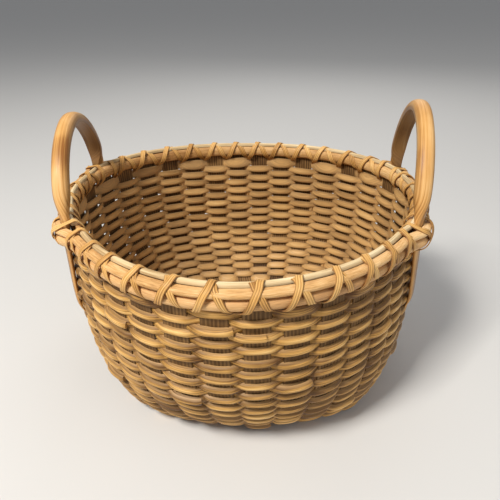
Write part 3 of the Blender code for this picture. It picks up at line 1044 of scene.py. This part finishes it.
@dataclass(frozen=True)
class Rim:
    """Half-round hoops outside and inside, and the filler that covers the stakes' ends.

    The outer hoop shows two bands, a smooth one above and a rough, darker one below.
    """

    leg_positions: tuple[int, ...] = (2, 15, 20, 33)
    stations: int = 12
    shoulder: float = 0.30
    fade: float = 1.0
    fade_power: float = 2.4
    push_blur: float = 1.4
    lap: float = 3.2
    end_share: float = 0.30
    lap_share: float = 0.66
    tone_sway: Sway = Sway(0.3, 0, (7.0, 13.0, 29.0))
    outer_start: float = 17.0
    outer_sway: Sway = Sway(0.0005, 21, (11.0, 6.0))
    upper_share: float = 0.42
    upper_seed: int = 31
    upper_tone: float = 0.22
    lower_seed: int = 34
    lower_age: float = 0.55
    groove: float = 0.0004
    inner_start: float = 9.0
    inner_sway: Sway = Sway(0.0005, 22, (9.0, 5.0))
    inner_seed: int = 32
    filler_start: float = 20.9
    filler_gap: float = 0.5
    filler_width: float = 0.0052
    filler_height: float = 0.0036
    filler_place: float = -0.0022
    filler_sway: Sway = Sway(0.0006, 23, (4.0, 9.0))
    filler_push: float = 0.35
    filler_seed: int = 33
    outer_section: Section = Section(points=22, fullness=0.62, wander=0.05, wander_length=0.06)
    inner_section: Section = Section(points=18, fullness=0.66, wander=0.08, wander_length=0.05)
    filler_section: Section = Section(points=12, fullness=0.7, wander=0.12, wander_length=0.04)

    def push(self, form: Form, places: Array) -> Array:
        """How far the outer hoop is pushed out by the handles' legs.

        Args:
            form: The basket's sizes.
            places: Fractional uprights round the rim.

        Returns:
            One distance for each place.
        """
        total = np.zeros(len(places))
        for position in self.leg_positions:
            away = np.abs(np.mod(places - position + form.upright_count / 2, form.upright_count)
                          - form.upright_count / 2)
            share = np.clip((away - self.shoulder) / self.fade, 0, 1)
            total = np.maximum(total, (1 - share) ** self.fade_power)
        return total * form.hoop_bulge

    def frame(self, wall: Wall, places: Array) -> tuple[Array, Array]:
        """Plan points and directions outwards at places round the rim."""
        return wall.form.rim_frame(wall.angles[0] + places * wall.form.step)

    def _lapped(self, form: Form, start: float, thickness: float) -> tuple[Array, Array, Array]:
        """A strip that goes once round the rim and on over its own thinned start.

        Args:
            form: The basket's sizes.
            start: Fractional upright at which the strip starts.
            thickness: Its full thickness.

        Returns:
            Places along it, its thickness there, and how far its end stands off its start.
        """
        count = int((form.upright_count + self.lap) * self.stations)
        places = np.linspace(start, start + form.upright_count + self.lap, count)
        ramp = np.clip(np.minimum(places - start, places[-1] - places) / self.lap, 0, 1)
        depth = thickness * (self.end_share + (1 - self.end_share) * ramp)
        over = np.clip((places - (places[-1] - self.lap)) / self.lap, 0, 1)
        return places, depth, over * thickness * self.lap_share

    def _hoop(self, outward: Array, middle: Array, height: float, depth: Array | float,
              seed: int) -> Rail:
        """A rail that runs round the rim with its face outwards or inwards.

        Args:
            outward: Directions in which the strip's crown faces.
            middle: Middles of the strip.
            height: Its height.
            depth: Its thickness.
            seed: Seed of its tone.

        Returns:
            The strip's rail.
        """
        count = len(middle)
        tone = PLAIN_TONE + self.tone_sway.at(np.arange(count) / self.stations, seed)
        return Rail(middle, np.tile(UP, (count, 1)), outward, height, depth, tone)

    def outer(self, wall: Wall, upper: bool) -> Rail:
        """One band of the outer hoop, whose thinned ends lap behind the left handle.

        Args:
            wall: The uprights that the hoop goes round.
            upper: Whether it is the smooth upper band or the rough lower one.

        Returns:
            The band's rail.
        """
        form = wall.form
        places, depth, off = self._lapped(form, self.outer_start, form.outer_thickness)
        plan, out = self.frame(wall, places)
        near = form.stake_to_hoop + soften(self.push(form, places), self.push_blur) + off
        share = self.upper_share if upper else 1 - self.upper_share
        tall = form.outer_height * share - self.groove
        height = form.hoop_top - tall / 2 if upper else form.hoop_bottom + tall / 2
        middle = plan + out * (near + depth / 2)[:, None] + UP * height
        middle += UP * self.outer_sway.at(places)[:, None]
        rail = self._hoop(out, middle, tall, depth, self.upper_seed if upper else self.lower_seed)
        rail.tone += self.upper_tone if upper else 0.0
        rail.age += 0.0 if upper else self.lower_age
        return rail

    def inner(self, wall: Wall) -> Rail:
        """The inner hoop, which laps at the back.

        Args:
            wall: The uprights that the hoop stands inside.

        Returns:
            The hoop's rail.
        """
        form = wall.form
        places, depth, off = self._lapped(form, self.inner_start, form.inner_thickness)
        plan, out = self.frame(wall, places)
        height = form.hoop_top - form.inner_height / 2
        middle = plan - out * (form.stake_to_hoop + off + depth / 2)[:, None] + UP * height
        middle += UP * self.inner_sway.at(places)[:, None]
        return self._hoop(-out, middle, form.inner_height, depth, self.inner_seed)

    def filler(self, wall: Wall) -> Rail:
        """The strip over the gap between the hoops, cut off beside the left handle's front leg.

        Args:
            wall: The uprights whose ends it covers.

        Returns:
            The strip's rail.
        """
        form = wall.form
        last = self.filler_start + form.upright_count - self.filler_gap
        count = int((form.upright_count - self.filler_gap) * self.stations)
        places = np.linspace(self.filler_start, last, count)
        plan, out = self.frame(wall, places)
        shift = self.filler_place + self.filler_sway.at(places) + self.filler_push * self.push(form, places)
        height = form.hoop_top + self.filler_height / 2 + form.clearance
        middle = plan + out * shift[:, None] + UP * height
        rail = self._hoop(np.tile(UP, (count, 1)), middle, self.filler_width, self.filler_height,
                          self.filler_seed)
        rail.across = out
        return rail

    def build(self, shop: Workshop, wall: Wall) -> None:
        """Make both hoops and the filler.

        Args:
            shop: Where the pieces are made.
            wall: The uprights.
        """
        bands = [self.outer(wall, upper) for upper in (True, False)]
        shop.make("outer_hoop", Slot.HOOP, bands, self.outer_section)
        shop.make("inner_hoop", Slot.HOOP, [self.inner(wall)], self.inner_section)
        shop.make("rim_filler", Slot.FILLER, [self.filler(wall)], self.filler_section)


@dataclass(frozen=True)
class Lashing:
    """Flat ribbed cane wound round both hoops, once for each upright and each way."""

    width: float = 0.0061
    thickness: float = 0.0010
    layer: float = 0.0013
    step: float = 0.0016
    blur: float = 1.1
    outward_blur: float = 1.5
    outer_turns: tuple[int, ...] = (164, 140, 115, 90, 65, 42, 20)
    inner_turns: tuple[int, ...] = (25, 55, 90, 125, 155)
    fullness: float = 0.62
    foot: float = 0.0102
    top: float = -0.0006
    ridge: float = 0.0014
    heel: float = 0.0048
    below: float = 0.0125
    leg: float = 0.0110
    wobble: float = 0.0016
    wobble_seed: int = 17
    push_from: float = 0.002
    push_blur: float = 0.6
    tone_sway: Sway = Sway(0.3, 90, (1.7, 3.9, 8.3))
    section: Section = Section(points=24, crown_share=0.72, fullness=0.3, ribs=3.0, rib_depth=0.22,
                               wander=0.10, wander_length=0.03)

    def _bow(self, turns: tuple[int, ...], slides: tuple[float, float], near: float, middle: float,
             size: tuple[float, float]) -> list[Place]:
        """The part of a turn that goes round one hoop.

        Args:
            turns: Angles round the hoop from its top, in degrees.
            slides: Slide along the rim at the first and at the last of them.
            near: Distance outwards of the hoop's flat face, below zero inside the wall.
            middle: Height of the hoop's middle.
            size: How far the strand stands off the flat face, and half its height.

        Returns:
            Slide along the rim, distance outwards and height at each angle.
        """
        reach, half_height = math.copysign(size[0], near), size[1]
        places = []
        for order, turn in enumerate(np.radians(turns)):
            share = order / (len(turns) - 1)
            slide = slides[0] + (slides[1] - slides[0]) * share
            out = near + reach * math.sin(turn) ** self.fullness
            places.append((slide, out, middle + half_height * math.cos(turn)))
        return places

    def _loop(self, form: Form, rim: Rim, lay: Lay, at_leg: bool, gap_middle: float) -> list[Place]:
        """One turn of a strand, round both hoops and through the gap below them.

        Args:
            form: The basket's sizes.
            rim: The hoops and the filler.
            lay: Which of the strands it is.
            at_leg: Whether the turn goes round a handle's leg.
            gap_middle: Slide of the middle of the gap between two uprights.

        Returns:
            Slide along the rim, distance outwards and height of each place.
        """
        cover = self.thickness / 2 + form.clearance + (self.layer if lay is Lay.OVER else 0.0)
        slides = (self.foot, self.top, self.ridge, self.heel)
        foot, top, ridge, heel = (self.leg,) * len(slides) if at_leg else slides
        outside = self._bow(self.outer_turns, (-foot, top), form.stake_to_hoop,
                            form.hoop_bottom + form.outer_height / 2,
                            (form.outer_thickness + cover, form.outer_height / 2 + cover))
        crest = (ridge, rim.filler_place, form.hoop_top + rim.filler_height + cover)
        inside = self._bow(self.inner_turns, (heel, self.below), -form.stake_to_hoop,
                           form.hoop_top - form.inner_height / 2,
                           (form.inner_thickness + cover, form.inner_height / 2 + cover))
        return [*outside, crest, *inside, (gap_middle, 0.0, form.hoop_bottom - cover)]

    def _rail(self, wall: Wall, rim: Rim, lay: Lay) -> Rail:
        """One strand's rail, wound all the way round.

        Args:
            wall: The uprights.
            rim: The hoops and the filler.
            lay: Which of the strands it is.

        Returns:
            The strand's rail.
        """
        form = wall.form
        radius = float(np.linalg.norm(form.rim_plan(wall.angles), axis=1).mean())
        chance = np.random.default_rng(self.wobble_seed + lay.value)
        rows = []
        for position in range(form.upright_count)[::lay.value]:
            at_leg = position in rim.leg_positions
            wobble = 0.0 if at_leg else chance.uniform(-self.wobble, self.wobble)
            for slide, out, height in self._loop(form, rim, lay, at_leg, form.step * radius / 2):
                rows.append((position + lay.value * (slide + wobble) / radius / form.step, out, height))
        places, outs, heights = np.array(rows).T
        plan, normal = rim.frame(wall, places)
        push = soften(rim.push(form, places), self.push_blur)
        outs = outs + np.where(outs > self.push_from, push, 0.0)
        points = plan + normal * outs[:, None] + heights[:, None] * UP
        hub = plan + UP * (form.hoop_top - form.outer_height / 2)
        points, hub, shift = resample(points, self.step, hub, places[:, None])
        points = soften(points, self.blur)
        along = unit(np.gradient(points, axis=0))
        outward = square_to(soften(square_to(points - hub, along), self.outward_blur), along)
        tone = PLAIN_TONE + self.tone_sway.at(shift[:, 0], lay.value)
        return Rail(points, np.cross(outward, along), outward, self.width, self.thickness, tone)

    def build(self, shop: Workshop, wall: Wall, rim: Rim) -> None:
        """Make both strands."""
        shop.make("under_lashing", Slot.LASHING, [self._rail(wall, rim, Lay.UNDER)], self.section)
        shop.make("over_lashing", Slot.LASHING, [self._rail(wall, rim, Lay.OVER)], self.section)


@dataclass(frozen=True)
class Handles:
    """Two bent pieces of wood, each with two legs that taper and tuck under a weaver."""

    right_legs: tuple[int, int] = (33, 2)
    left_legs: tuple[int, int] = (20, 15)
    right_rise: float = 0.094
    left_rise: float = 0.081
    flare: float = 0.003
    width: float = 0.0160
    thickness: float = 0.0100
    squareness: float = 1.8
    arch_steps: int = 48
    crown_power: int = 3
    leg_thickness: float = 0.0085
    leg_width: float = 0.0140
    tail_thickness: float = 0.0052
    tail_width: float = 0.0125
    tail_steps: int = 8
    tip_thickness: float = 0.0024
    tip_width: float = 0.0060
    tuck_row: int = 11
    weaver_depth: float = 0.0034
    weaver_height: float = 0.0076
    shoulder: float = 0.0075
    blend: float = 0.014
    probe: float = 0.001
    step: float = 0.0022
    blur: float = 2.6
    tone_sway: Sway = Sway(0.3, 130, (0.05, 0.12, 0.31))
    section: Section = Section(points=30, crown_share=0.72, fullness=0.55, wander=0.07, wander_length=0.05,
                               crease_angle=1.2)

    def _leg_rows(self, wall: Wall, position: int) -> list[tuple[float, float, float, float]]:
        """Sizes of a leg, from its tucked tip to the stakes' top.

        Args:
            wall: The uprights.
            position: Upright that the leg stands on.

        Returns:
            Length up the stake, distance of the inner face, thickness and width of each row.
        """
        form = wall.form
        row = self.tuck_row if (position + self.tuck_row) % 2 == 0 else self.tuck_row + 1
        tuck = wall.row_arc(position, row)
        pitch = wall.row_arc(position, 0) - wall.row_arc(position, 1)
        weave = wall.arc_at(position, form.weave_top)
        near = form.stake_to_hoop
        outside = near + self.weaver_depth + form.clearance
        high = tuck + 2 * pitch - self.weaver_height / 2
        rows = [(tuck - self.weaver_height / 2, near, self.tip_thickness, self.tip_width),
                (tuck + self.weaver_height / 2, near, self.tip_thickness, self.tip_width)]
        for step in range(self.tail_steps + 1):
            share = step / self.tail_steps
            thick = (self.tip_thickness + self.tail_thickness) / 2 * (1 - share) + self.tail_thickness * share
            wide = (self.tip_width + self.tail_width) / 2 * (1 - share) + self.tail_width * share
            rows.append((high * (1 - share) + weave * share, outside, thick, wide))
        rows.append((wall.arcs[position, -1], near, self.leg_thickness, self.leg_width))
        return rows

    def _leg(self, wall: Wall, position: int, sign: int) -> list[Station]:
        """A leg, from its tucked tip to above the hoops.

        Args:
            wall: The uprights.
            position: Upright that the leg stands on.
            sign: One or minus one, which turns the stake's sideways direction to the arch's outside.

        Returns:
            Middle, inward-outward and sideways direction, thickness and width of each row.
        """
        form = wall.form
        made = []
        for arc, inner, thick, wide in self._leg_rows(wall, position):
            above = min(arc + self.probe, wall.arcs[position, -1])
            points, sides = wall.at(position, np.array([arc - self.probe, arc, above]))
            up = unit(points[2] - points[0])
            normal = np.cross(sides[1], up)
            made.append((points[1] + normal * (inner + thick / 2), normal, sides[1] * sign, thick, wide))
        last = made[-1]
        top = last[0] + UP * (form.hoop_top + self.shoulder - last[0][2])
        made.append((top, *last[1:]))
        return made

    def _arch(self, form: Form, one: Station, two: Station, facing: int, top_rise: float) -> list[Station]:
        """The grip between two legs.

        Args:
            form: The basket's sizes.
            one: Last row of the leg at which the arch starts.
            two: Last row of the other leg.
            facing: One for the right handle, minus one for the left.
            top_rise: How far the grip's top lies above the hoops.

        Returns:
            Rows like those of a leg.
        """
        centre = (one[0] + two[0]) / 2
        half_span = (two[0] - one[0]) / 2
        grip = unit(np.cross(half_span, UP)) * facing
        rise = form.hoop_top + top_rise - self.thickness / 2 - centre[2]
        power = 2 / self.squareness
        arch = []
        for step in range(1, self.arch_steps):
            turn = math.pi * step / self.arch_steps
            across = -math.copysign(abs(math.cos(turn)) ** power, math.cos(turn))
            lift = math.sin(turn) ** power
            share = min(rise * lift / self.blend, 1.0)
            leg = one if step < self.arch_steps / 2 else two
            point = centre + half_span * across + (grip * self.flare + UP * rise) * lift
            radial = unit(leg[1] * (1 - share) + grip * share)
            outer = unit(half_span) * across + UP * max(lift, 0.0) ** self.crown_power
            outer = unit(leg[2] * (1 - share) + unit(outer) * share)
            thick = self.leg_thickness + (self.width - self.leg_thickness) * share
            wide = self.leg_width + (self.thickness - self.leg_width) * share
            arch.append((point, radial, outer, thick, wide))
        return arch

    def _rail(self, wall: Wall, legs: tuple[int, int], facing: int, top_rise: float) -> Rail:
        """One handle's rail, from tip to tip.

        Args:
            wall: The uprights.
            legs: Uprights that its legs stand on.
            facing: One for the right handle, minus one for the left.
            top_rise: How far the grip's top lies above the hoops.

        Returns:
            The handle's rail.
        """
        one = self._leg(wall, legs[0], -facing)
        two = self._leg(wall, legs[1], facing)
        stations = one + self._arch(wall.form, one[-1], two[-1], facing, top_rise) + two[::-1]
        points, radial, outer, thick, wide = (np.array(rows, dtype=float) for rows in zip(*stations))
        sizes = np.stack([thick, wide], axis=1)
        rows = resample(points, self.step, radial, outer, sizes)
        points, radial, outer, sizes = (soften(values, self.blur) for values in rows)
        along = unit(np.gradient(points, axis=0))
        across = square_to(radial, along)
        outward = square_to(outer - across * np.sum(outer * across, axis=1, keepdims=True), along)
        places = np.arange(len(points)) * self.step
        tone = PLAIN_TONE + self.tone_sway.at(places, facing)
        return Rail(points, across, outward, sizes[:, 0], sizes[:, 1], tone)

    def build(self, shop: Workshop, wall: Wall) -> None:
        """Make both handles.

        Args:
            shop: Where the pieces are made.
            wall: The uprights.
        """
        right = self._rail(wall, self.right_legs, 1, self.right_rise)
        left = self._rail(wall, self.left_legs, -1, self.left_rise)
        shop.make("right_handle", Slot.HANDLE, [right], self.section)
        shop.make("left_handle", Slot.HANDLE, [left], self.section)


class Effects:
    """Shader groups that the finishes share."""

    def __init__(self) -> None:
        """Build the groups."""
        self.grain = self._grain()
        self.stain = self._stain()

    @staticmethod
    def _group(name: str, inputs: dict[str, str],
               outputs: tuple[str, ...]) -> tuple[Sketch, bpy.types.bpy_prop_collection, bpy.types.Node]:
        """An empty group.

        Args:
            name: Name of the group.
            inputs: Kind of each named input.
            outputs: Names of its outputs, all numbers.

        Returns:
            The sketch of its tree, its inputs as sockets to link from, and its output node.
        """
        tree = bpy.data.node_groups.new(name, "ShaderNodeTree")
        for label, kind in inputs.items():
            tree.interface.new_socket(name=label, in_out="INPUT", socket_type=kind)
        for label in outputs:
            tree.interface.new_socket(name=label, in_out="OUTPUT", socket_type="NodeSocketFloat")
        sketch = Sketch(tree)
        return sketch, sketch.add("NodeGroupInput").outputs, sketch.add("NodeGroupOutput")

    def _grain(self) -> bpy.types.NodeTree:
        """Lengthwise streaks and finer fibres, from a chart of run and girth in metres.

        Returns:
            The group.
        """
        fineness, low, high = (2.5, 4.5, 1.0), 0.3, 0.7
        inputs = {"Chart": "NodeSocketVector", "Across": "NodeSocketFloat", "Along": "NodeSocketFloat"}
        sketch, given, out = self._group("reed_grain", inputs, ("Streak", "Fibre"))
        parts = sketch.add("ShaderNodeSeparateXYZ", {0: given["Chart"]}).outputs
        along = sketch.product(parts[0], given["Along"])
        across = sketch.product(parts[1], given["Across"])
        place = sketch.add("ShaderNodeCombineXYZ", {"X": along, "Y": across}).outputs[0]
        streak = sketch.noise(place, Detail=2.0, Roughness=0.55)
        fibre = sketch.noise(sketch.vectors("MULTIPLY", place, fineness), Detail=2.0, Roughness=0.6)
        for name, source in (("Streak", streak), ("Fibre", fibre)):
            spread = sketch.add("ShaderNodeMapRange", {0: source, 1: low, 2: high})
            sketch.feed(out.inputs[name], spread.outputs[0])
        return sketch.tree

    def _stain(self) -> bpy.types.NodeTree:
        """Soft uneven patches over the whole basket.

        Returns:
            The group.
        """
        low, high = 0.32, 0.68
        sketch, given, out = self._group(
            "age_stain", {"Place": "NodeSocketVector", "Scale": "NodeSocketFloat"}, ("Patch",))
        noise = sketch.noise(given["Place"], Scale=given["Scale"], Detail=3.0)
        spread = sketch.add("ShaderNodeMapRange", {0: noise, 1: low, 2: high})
        sketch.feed(out.inputs["Patch"], spread.outputs[0])
        return sketch.tree


@dataclass(frozen=True)
class ReedFinish:
    """How one kind of reed or wood looks."""

    name: str
    dark: Colour
    middle: Colour
    light: Colour
    aged_and_painted_shading: Colour
    across: float = 900.0
    along: float = 22.0
    streak: float = 0.55
    fibre: float = 0.25
    tone: float = 0.5
    patch: float = 0.35
    dark_end: float = 0.05
    light_end: float = 0.95
    back_age_and_painted_shading: float = 0.5
    spot_age: float = 0.6
    rib_shade: float = 0.0
    ribs: float = 0.0
    edge_shade: float = 0.0
    edge_power: float = 3.0
    roughness: float = 0.55
    rough_spread: float = 0.14
    sheen: float = 0.30
    bump: float = 0.00025
    bump_strength: float = 0.8
    streak_relief: float = 0.6
    fibre_relief: float = 0.4
    stain_scale: float = 22.0

    @staticmethod
    def _attribute(sketch: Sketch, name: str) -> Socket:
        """A number that the sweep left on the piece."""
        return sketch.add("ShaderNodeAttribute", attribute_name=name).outputs["Fac"]

    def _value(self, sketch: Sketch, sources: tuple[tuple[Socket, float], ...]) -> Socket:
        """How light the surface is, from dark at zero to light at one.

        Args:
            sketch: The material's nodes.
            sources: Masks around one half, each with its weight.

        Returns:
            The socket with the value.
        """
        maths = sketch.maths
        value: object = PLAIN_TONE
        for source, weight in sources:
            value = maths("ADD", value, sketch.product(maths("SUBTRACT", source, 0.5), weight))
        edge = self._attribute(sketch, "edge")
        if self.rib_shade:
            groove = maths("COSINE", sketch.product(edge, self.ribs * math.pi))
            value = maths("MULTIPLY_ADD", groove, self.rib_shade, value)
        if self.edge_shade:
            rounding = maths("POWER", maths("ABSOLUTE", edge), self.edge_power)
            value = maths("SUBTRACT", value, sketch.product(rounding, self.edge_shade))
        return value

    def _colour(self, sketch: Sketch, value: Socket) -> Socket:
        """The colour for a value, mixed with the second colour on the strips that carry real age and on the
        back, where the mix is partly duller reed and partly painted shading: painted shade on the handles'
        inner faces, painted light on the weavers' inner faces.

        Args:
            sketch: The material's nodes.
            value: How light the surface is.

        Returns:
            The socket with the colour.
        """
        maths = sketch.maths
        ramp = sketch.add("ShaderNodeValToRGB", {0: value})
        stops = ramp.color_ramp.elements
        stops[0].position, stops[0].color = self.dark_end, (*self.dark, 1.0)
        stops[1].position, stops[1].color = self.light_end, (*self.light, 1.0)
        middle = stops.new(0.5)
        middle.color = (*self.middle, 1.0)
        # Painted shading on the flat back: darker on the handles' inner faces, lighter on the weavers' inner
        # faces inside the basket, together with the reed's duller back.
        back = maths("SUBTRACT", 1.0, self._attribute(sketch, "crown"), clamp=True)
        spots = sketch.product(self._attribute(sketch, "age"), self.spot_age)
        # age holds the real age of the strips and the painted shading of the back.
        age = maths("ADD", sketch.product(back, self.back_age_and_painted_shading), spots, clamp=True)
        mixed = sketch.add("ShaderNodeMix", {0: age}, data_type="RGBA")
        sketch.feed(mixed.inputs[6], ramp.outputs["Color"])
        sketch.feed(mixed.inputs[7], (*self.aged_and_painted_shading, 1.0))
        return mixed.outputs[2]

    def make(self, effects: Effects) -> bpy.types.Material:
        """Build the material.

        Args:
            effects: The shared shader groups.

        Returns:
            The material.
        """
        material = bpy.data.materials.new(self.name)
        material.use_nodes = True
        sketch = Sketch(material.node_tree)
        shader = material.node_tree.nodes["Principled BSDF"]
        chart = sketch.add("ShaderNodeUVMap", uv_map="UVMap").outputs[0]
        place = sketch.add("ShaderNodeTexCoord").outputs["Object"]
        grain = sketch.add("ShaderNodeGroup", node_tree=effects.grain)
        stain = sketch.add("ShaderNodeGroup", node_tree=effects.stain)
        fed = ((grain, "Chart", chart), (grain, "Across", self.across), (grain, "Along", self.along),
               (stain, "Place", place), (stain, "Scale", self.stain_scale))
        for node, name, source in fed:
            sketch.feed(node.inputs[name], source)
        streak, fibre = grain.outputs["Streak"], grain.outputs["Fibre"]
        value = self._value(sketch, ((streak, self.streak), (fibre, self.fibre),
                                     (self._attribute(sketch, "tone"), self.tone),
                                     (stain.outputs["Patch"], self.patch)))
        sketch.feed(shader.inputs["Base Color"], self._colour(sketch, value))
        rough = sketch.maths("MULTIPLY_ADD", fibre, self.rough_spread, self.roughness - self.rough_spread / 2)
        sketch.feed(shader.inputs["Roughness"], rough)
        sketch.feed(shader.inputs["Specular IOR Level"], self.sheen)
        height = sketch.maths("MULTIPLY_ADD", streak, self.streak_relief,
                              sketch.product(fibre, self.fibre_relief))
        bump = sketch.add("ShaderNodeBump", {"Height": height, "Distance": self.bump,
                                             "Strength": self.bump_strength})
        sketch.feed(shader.inputs["Normal"], bump.outputs["Normal"])
        return material


FINISHES = {
    # The stakes' colours are darker than the reed itself: painted shade for the gaps between the strands,
    # where the stakes mostly show.
    Slot.STAKE: ReedFinish("stake_shaded_finish", dark=(0.060, 0.028, 0.009), middle=(0.130, 0.062, 0.018),
                           light=(0.330, 0.185, 0.066), aged_and_painted_shading=(0.200, 0.112, 0.045),
                           across=1100.0, along=30.0, rib_shade=0.26, ribs=7.0,
                           roughness=0.68, back_age_and_painted_shading=0.35),
    # The weaver's back colour is light: painted light on the strands' inner faces inside the basket.
    Slot.WEAVER: ReedFinish("weaver_finish", dark=(0.110, 0.040, 0.005), middle=(0.560, 0.295, 0.070),
                            light=(0.950, 0.610, 0.230), aged_and_painted_shading=(0.780, 0.490, 0.215),
                            edge_shade=0.72, roughness=0.42, back_age_and_painted_shading=0.60),
    Slot.HOOP: ReedFinish("hoop_finish", dark=(0.360, 0.160, 0.045), middle=(0.680, 0.380, 0.135),
                          light=(0.900, 0.600, 0.290), aged_and_painted_shading=(0.700, 0.410, 0.190),
                          across=1300.0, along=60.0, streak=0.50, fibre=0.5,
                          roughness=0.5, back_age_and_painted_shading=0.3),
    Slot.FILLER: ReedFinish("filler_finish", dark=(0.420, 0.260, 0.110), middle=(0.760, 0.560, 0.300),
                            light=(0.920, 0.760, 0.480), aged_and_painted_shading=(0.420, 0.300, 0.160), roughness=0.6),
    Slot.LASHING: ReedFinish("lashing_finish", dark=(0.290, 0.125, 0.028), middle=(0.690, 0.370, 0.105),
                             light=(0.900, 0.590, 0.240), aged_and_painted_shading=(0.420, 0.260, 0.110),
                             across=1500.0, along=26.0, rib_shade=0.20, ribs=3.0, edge_shade=0.30,
                             roughness=0.44, back_age_and_painted_shading=0.25),
    # The handle's back colour is dark: painted shade on the inner face of the bend.
    Slot.HANDLE: ReedFinish("handle_finish", dark=(0.300, 0.115, 0.024), middle=(0.660, 0.345, 0.105),
                            light=(0.860, 0.545, 0.235), aged_and_painted_shading=(0.150, 0.075, 0.026),
                            across=420.0, along=9.0, streak=0.65, fibre=0.3,
                            roughness=0.40, back_age_and_painted_shading=0.8),
}


@dataclass(frozen=True)
class Lamp:
    """A soft square lamp."""

    name: str
    place: Place
    size: float
    watts: float
    colour: Colour

    def hang(self, target: Place) -> None:
        """Hang the lamp so that it points at a target.

        Args:
            target: Where it points.
        """
        data = bpy.data.lights.new(self.name, "AREA")
        data.size, data.energy, data.color = self.size, self.watts, self.colour
        lamp = bpy.data.objects.new(self.name, data)
        lamp.location = self.place
        lamp.rotation_euler = (Vector(target) - Vector(self.place)).to_track_quat("-Z", "Y").to_euler()
        bpy.context.scene.collection.objects.link(lamp)


@dataclass(frozen=True)
class Studio:
    """Pale floor, soft lights and the photograph's point of view; its angles are in degrees."""

    focal: float = 36.0
    sensor: float = 36.0
    distance: float = 0.484
    height: float = 0.387
    azimuth: float = 2.33
    pitch: float = 28.396
    yaw: float = 0.785
    roll: float = -0.276
    aim_depth: float = 0.005
    floor_half: float = 60.0
    floor_colour: Colour = (0.70, 0.69, 0.67)
    floor_roughness: float = 0.8
    sky_colour: Colour = (0.86, 0.88, 0.92)
    sky_strength: float = 0.30
    lit: Place = (0.0, 0.0, 0.1)
    lamps: tuple[Lamp, ...] = (Lamp("key", (-0.8, -1.0, 1.8), 0.5, 49.0, (1.0, 0.97, 0.92)),
                               Lamp("fill", (1.4, -0.7, 0.9), 1.2, 4.0, (0.95, 0.97, 1.0)),
                               Lamp("back", (0.3, 1.4, 1.3), 1.2, 6.0, (1.0, 0.98, 0.95)))

    def _camera(self) -> None:
        """Put the camera where the photograph was taken from."""
        side = math.radians(self.azimuth)
        turns = ((self.azimuth - self.yaw, "Z"), (90.0 - self.pitch, "X"), (self.roll, "Z"))
        data = bpy.data.cameras.new("camera")
        data.lens, data.sensor_width = self.focal, self.sensor
        camera = bpy.data.objects.new("camera", data)
        depth = self.aim_depth - self.distance * math.cos(side)
        place = Vector((self.distance * math.sin(side), depth, self.height))
        first, second, third = (Matrix.Rotation(math.radians(angle), 4, axis) for angle, axis in turns)
        camera.matrix_world = Matrix.Translation(place) @ (first @ second @ third)
        bpy.context.scene.collection.objects.link(camera)
        bpy.context.scene.camera = camera

    def _floor(self) -> None:
        """Lay a large pale floor."""
        half = self.floor_half
        corners = [(-half, -half, 0), (half, -half, 0), (half, half, 0), (-half, half, 0)]
        mesh = bpy.data.meshes.new("floor")
        mesh.from_pydata(corners, [], [(0, 1, 2, 3)])
        floor = bpy.data.objects.new("floor", mesh)
        bpy.context.scene.collection.objects.link(floor)
        material = bpy.data.materials.new("floor_paper")
        material.use_nodes = True
        shader = material.node_tree.nodes["Principled BSDF"]
        shader.inputs["Base Color"].default_value = (*self.floor_colour, 1.0)
        shader.inputs["Roughness"].default_value = self.floor_roughness
        mesh.materials.append(material)

    def build(self) -> None:
        """Set floor, lamps, world and camera."""
        self._floor()
        for lamp in self.lamps:
            lamp.hang(self.lit)
        world = bpy.data.worlds.new("studio")
        world.use_nodes = True
        back = world.node_tree.nodes["Background"]
        back.inputs["Color"].default_value = (*self.sky_colour, 1.0)
        back.inputs["Strength"].default_value = self.sky_strength
        bpy.context.scene.world = world
        bpy.context.scene.view_settings.view_transform = "Standard"
        self._camera()


@dataclass
class Basket:
    """The whole basket."""

    form: Form = field(default_factory=Form)
    stakes: Stakes = field(default_factory=Stakes)
    weaving: Weaving = field(default_factory=Weaving)
    rim: Rim = field(default_factory=Rim)
    handles: Handles = field(default_factory=Handles)
    lashing: Lashing = field(default_factory=Lashing)

    def build(self, shop: Workshop) -> None:
        """Make every piece in the order in which the basket is woven.

        Args:
            shop: Where the pieces are made.
        """
        wall = Wall(self.form)
        self.stakes.build(shop, wall)
        self.weaving.build(shop, wall)
        self.rim.build(shop, wall)
        self.handles.build(shop, wall)
        self.lashing.build(shop, wall, self.rim)


def main() -> None:
    """Load the frame and dress it."""
    logging.basicConfig(level=logging.INFO, format="%(name)s: %(message)s")
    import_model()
    Studio().build()
    effects = Effects()
    finishes = {slot: finish.make(effects) for slot, finish in FINISHES.items()}
    Basket().build(Workshop(finishes))


if __name__ == "__main__":
    main()
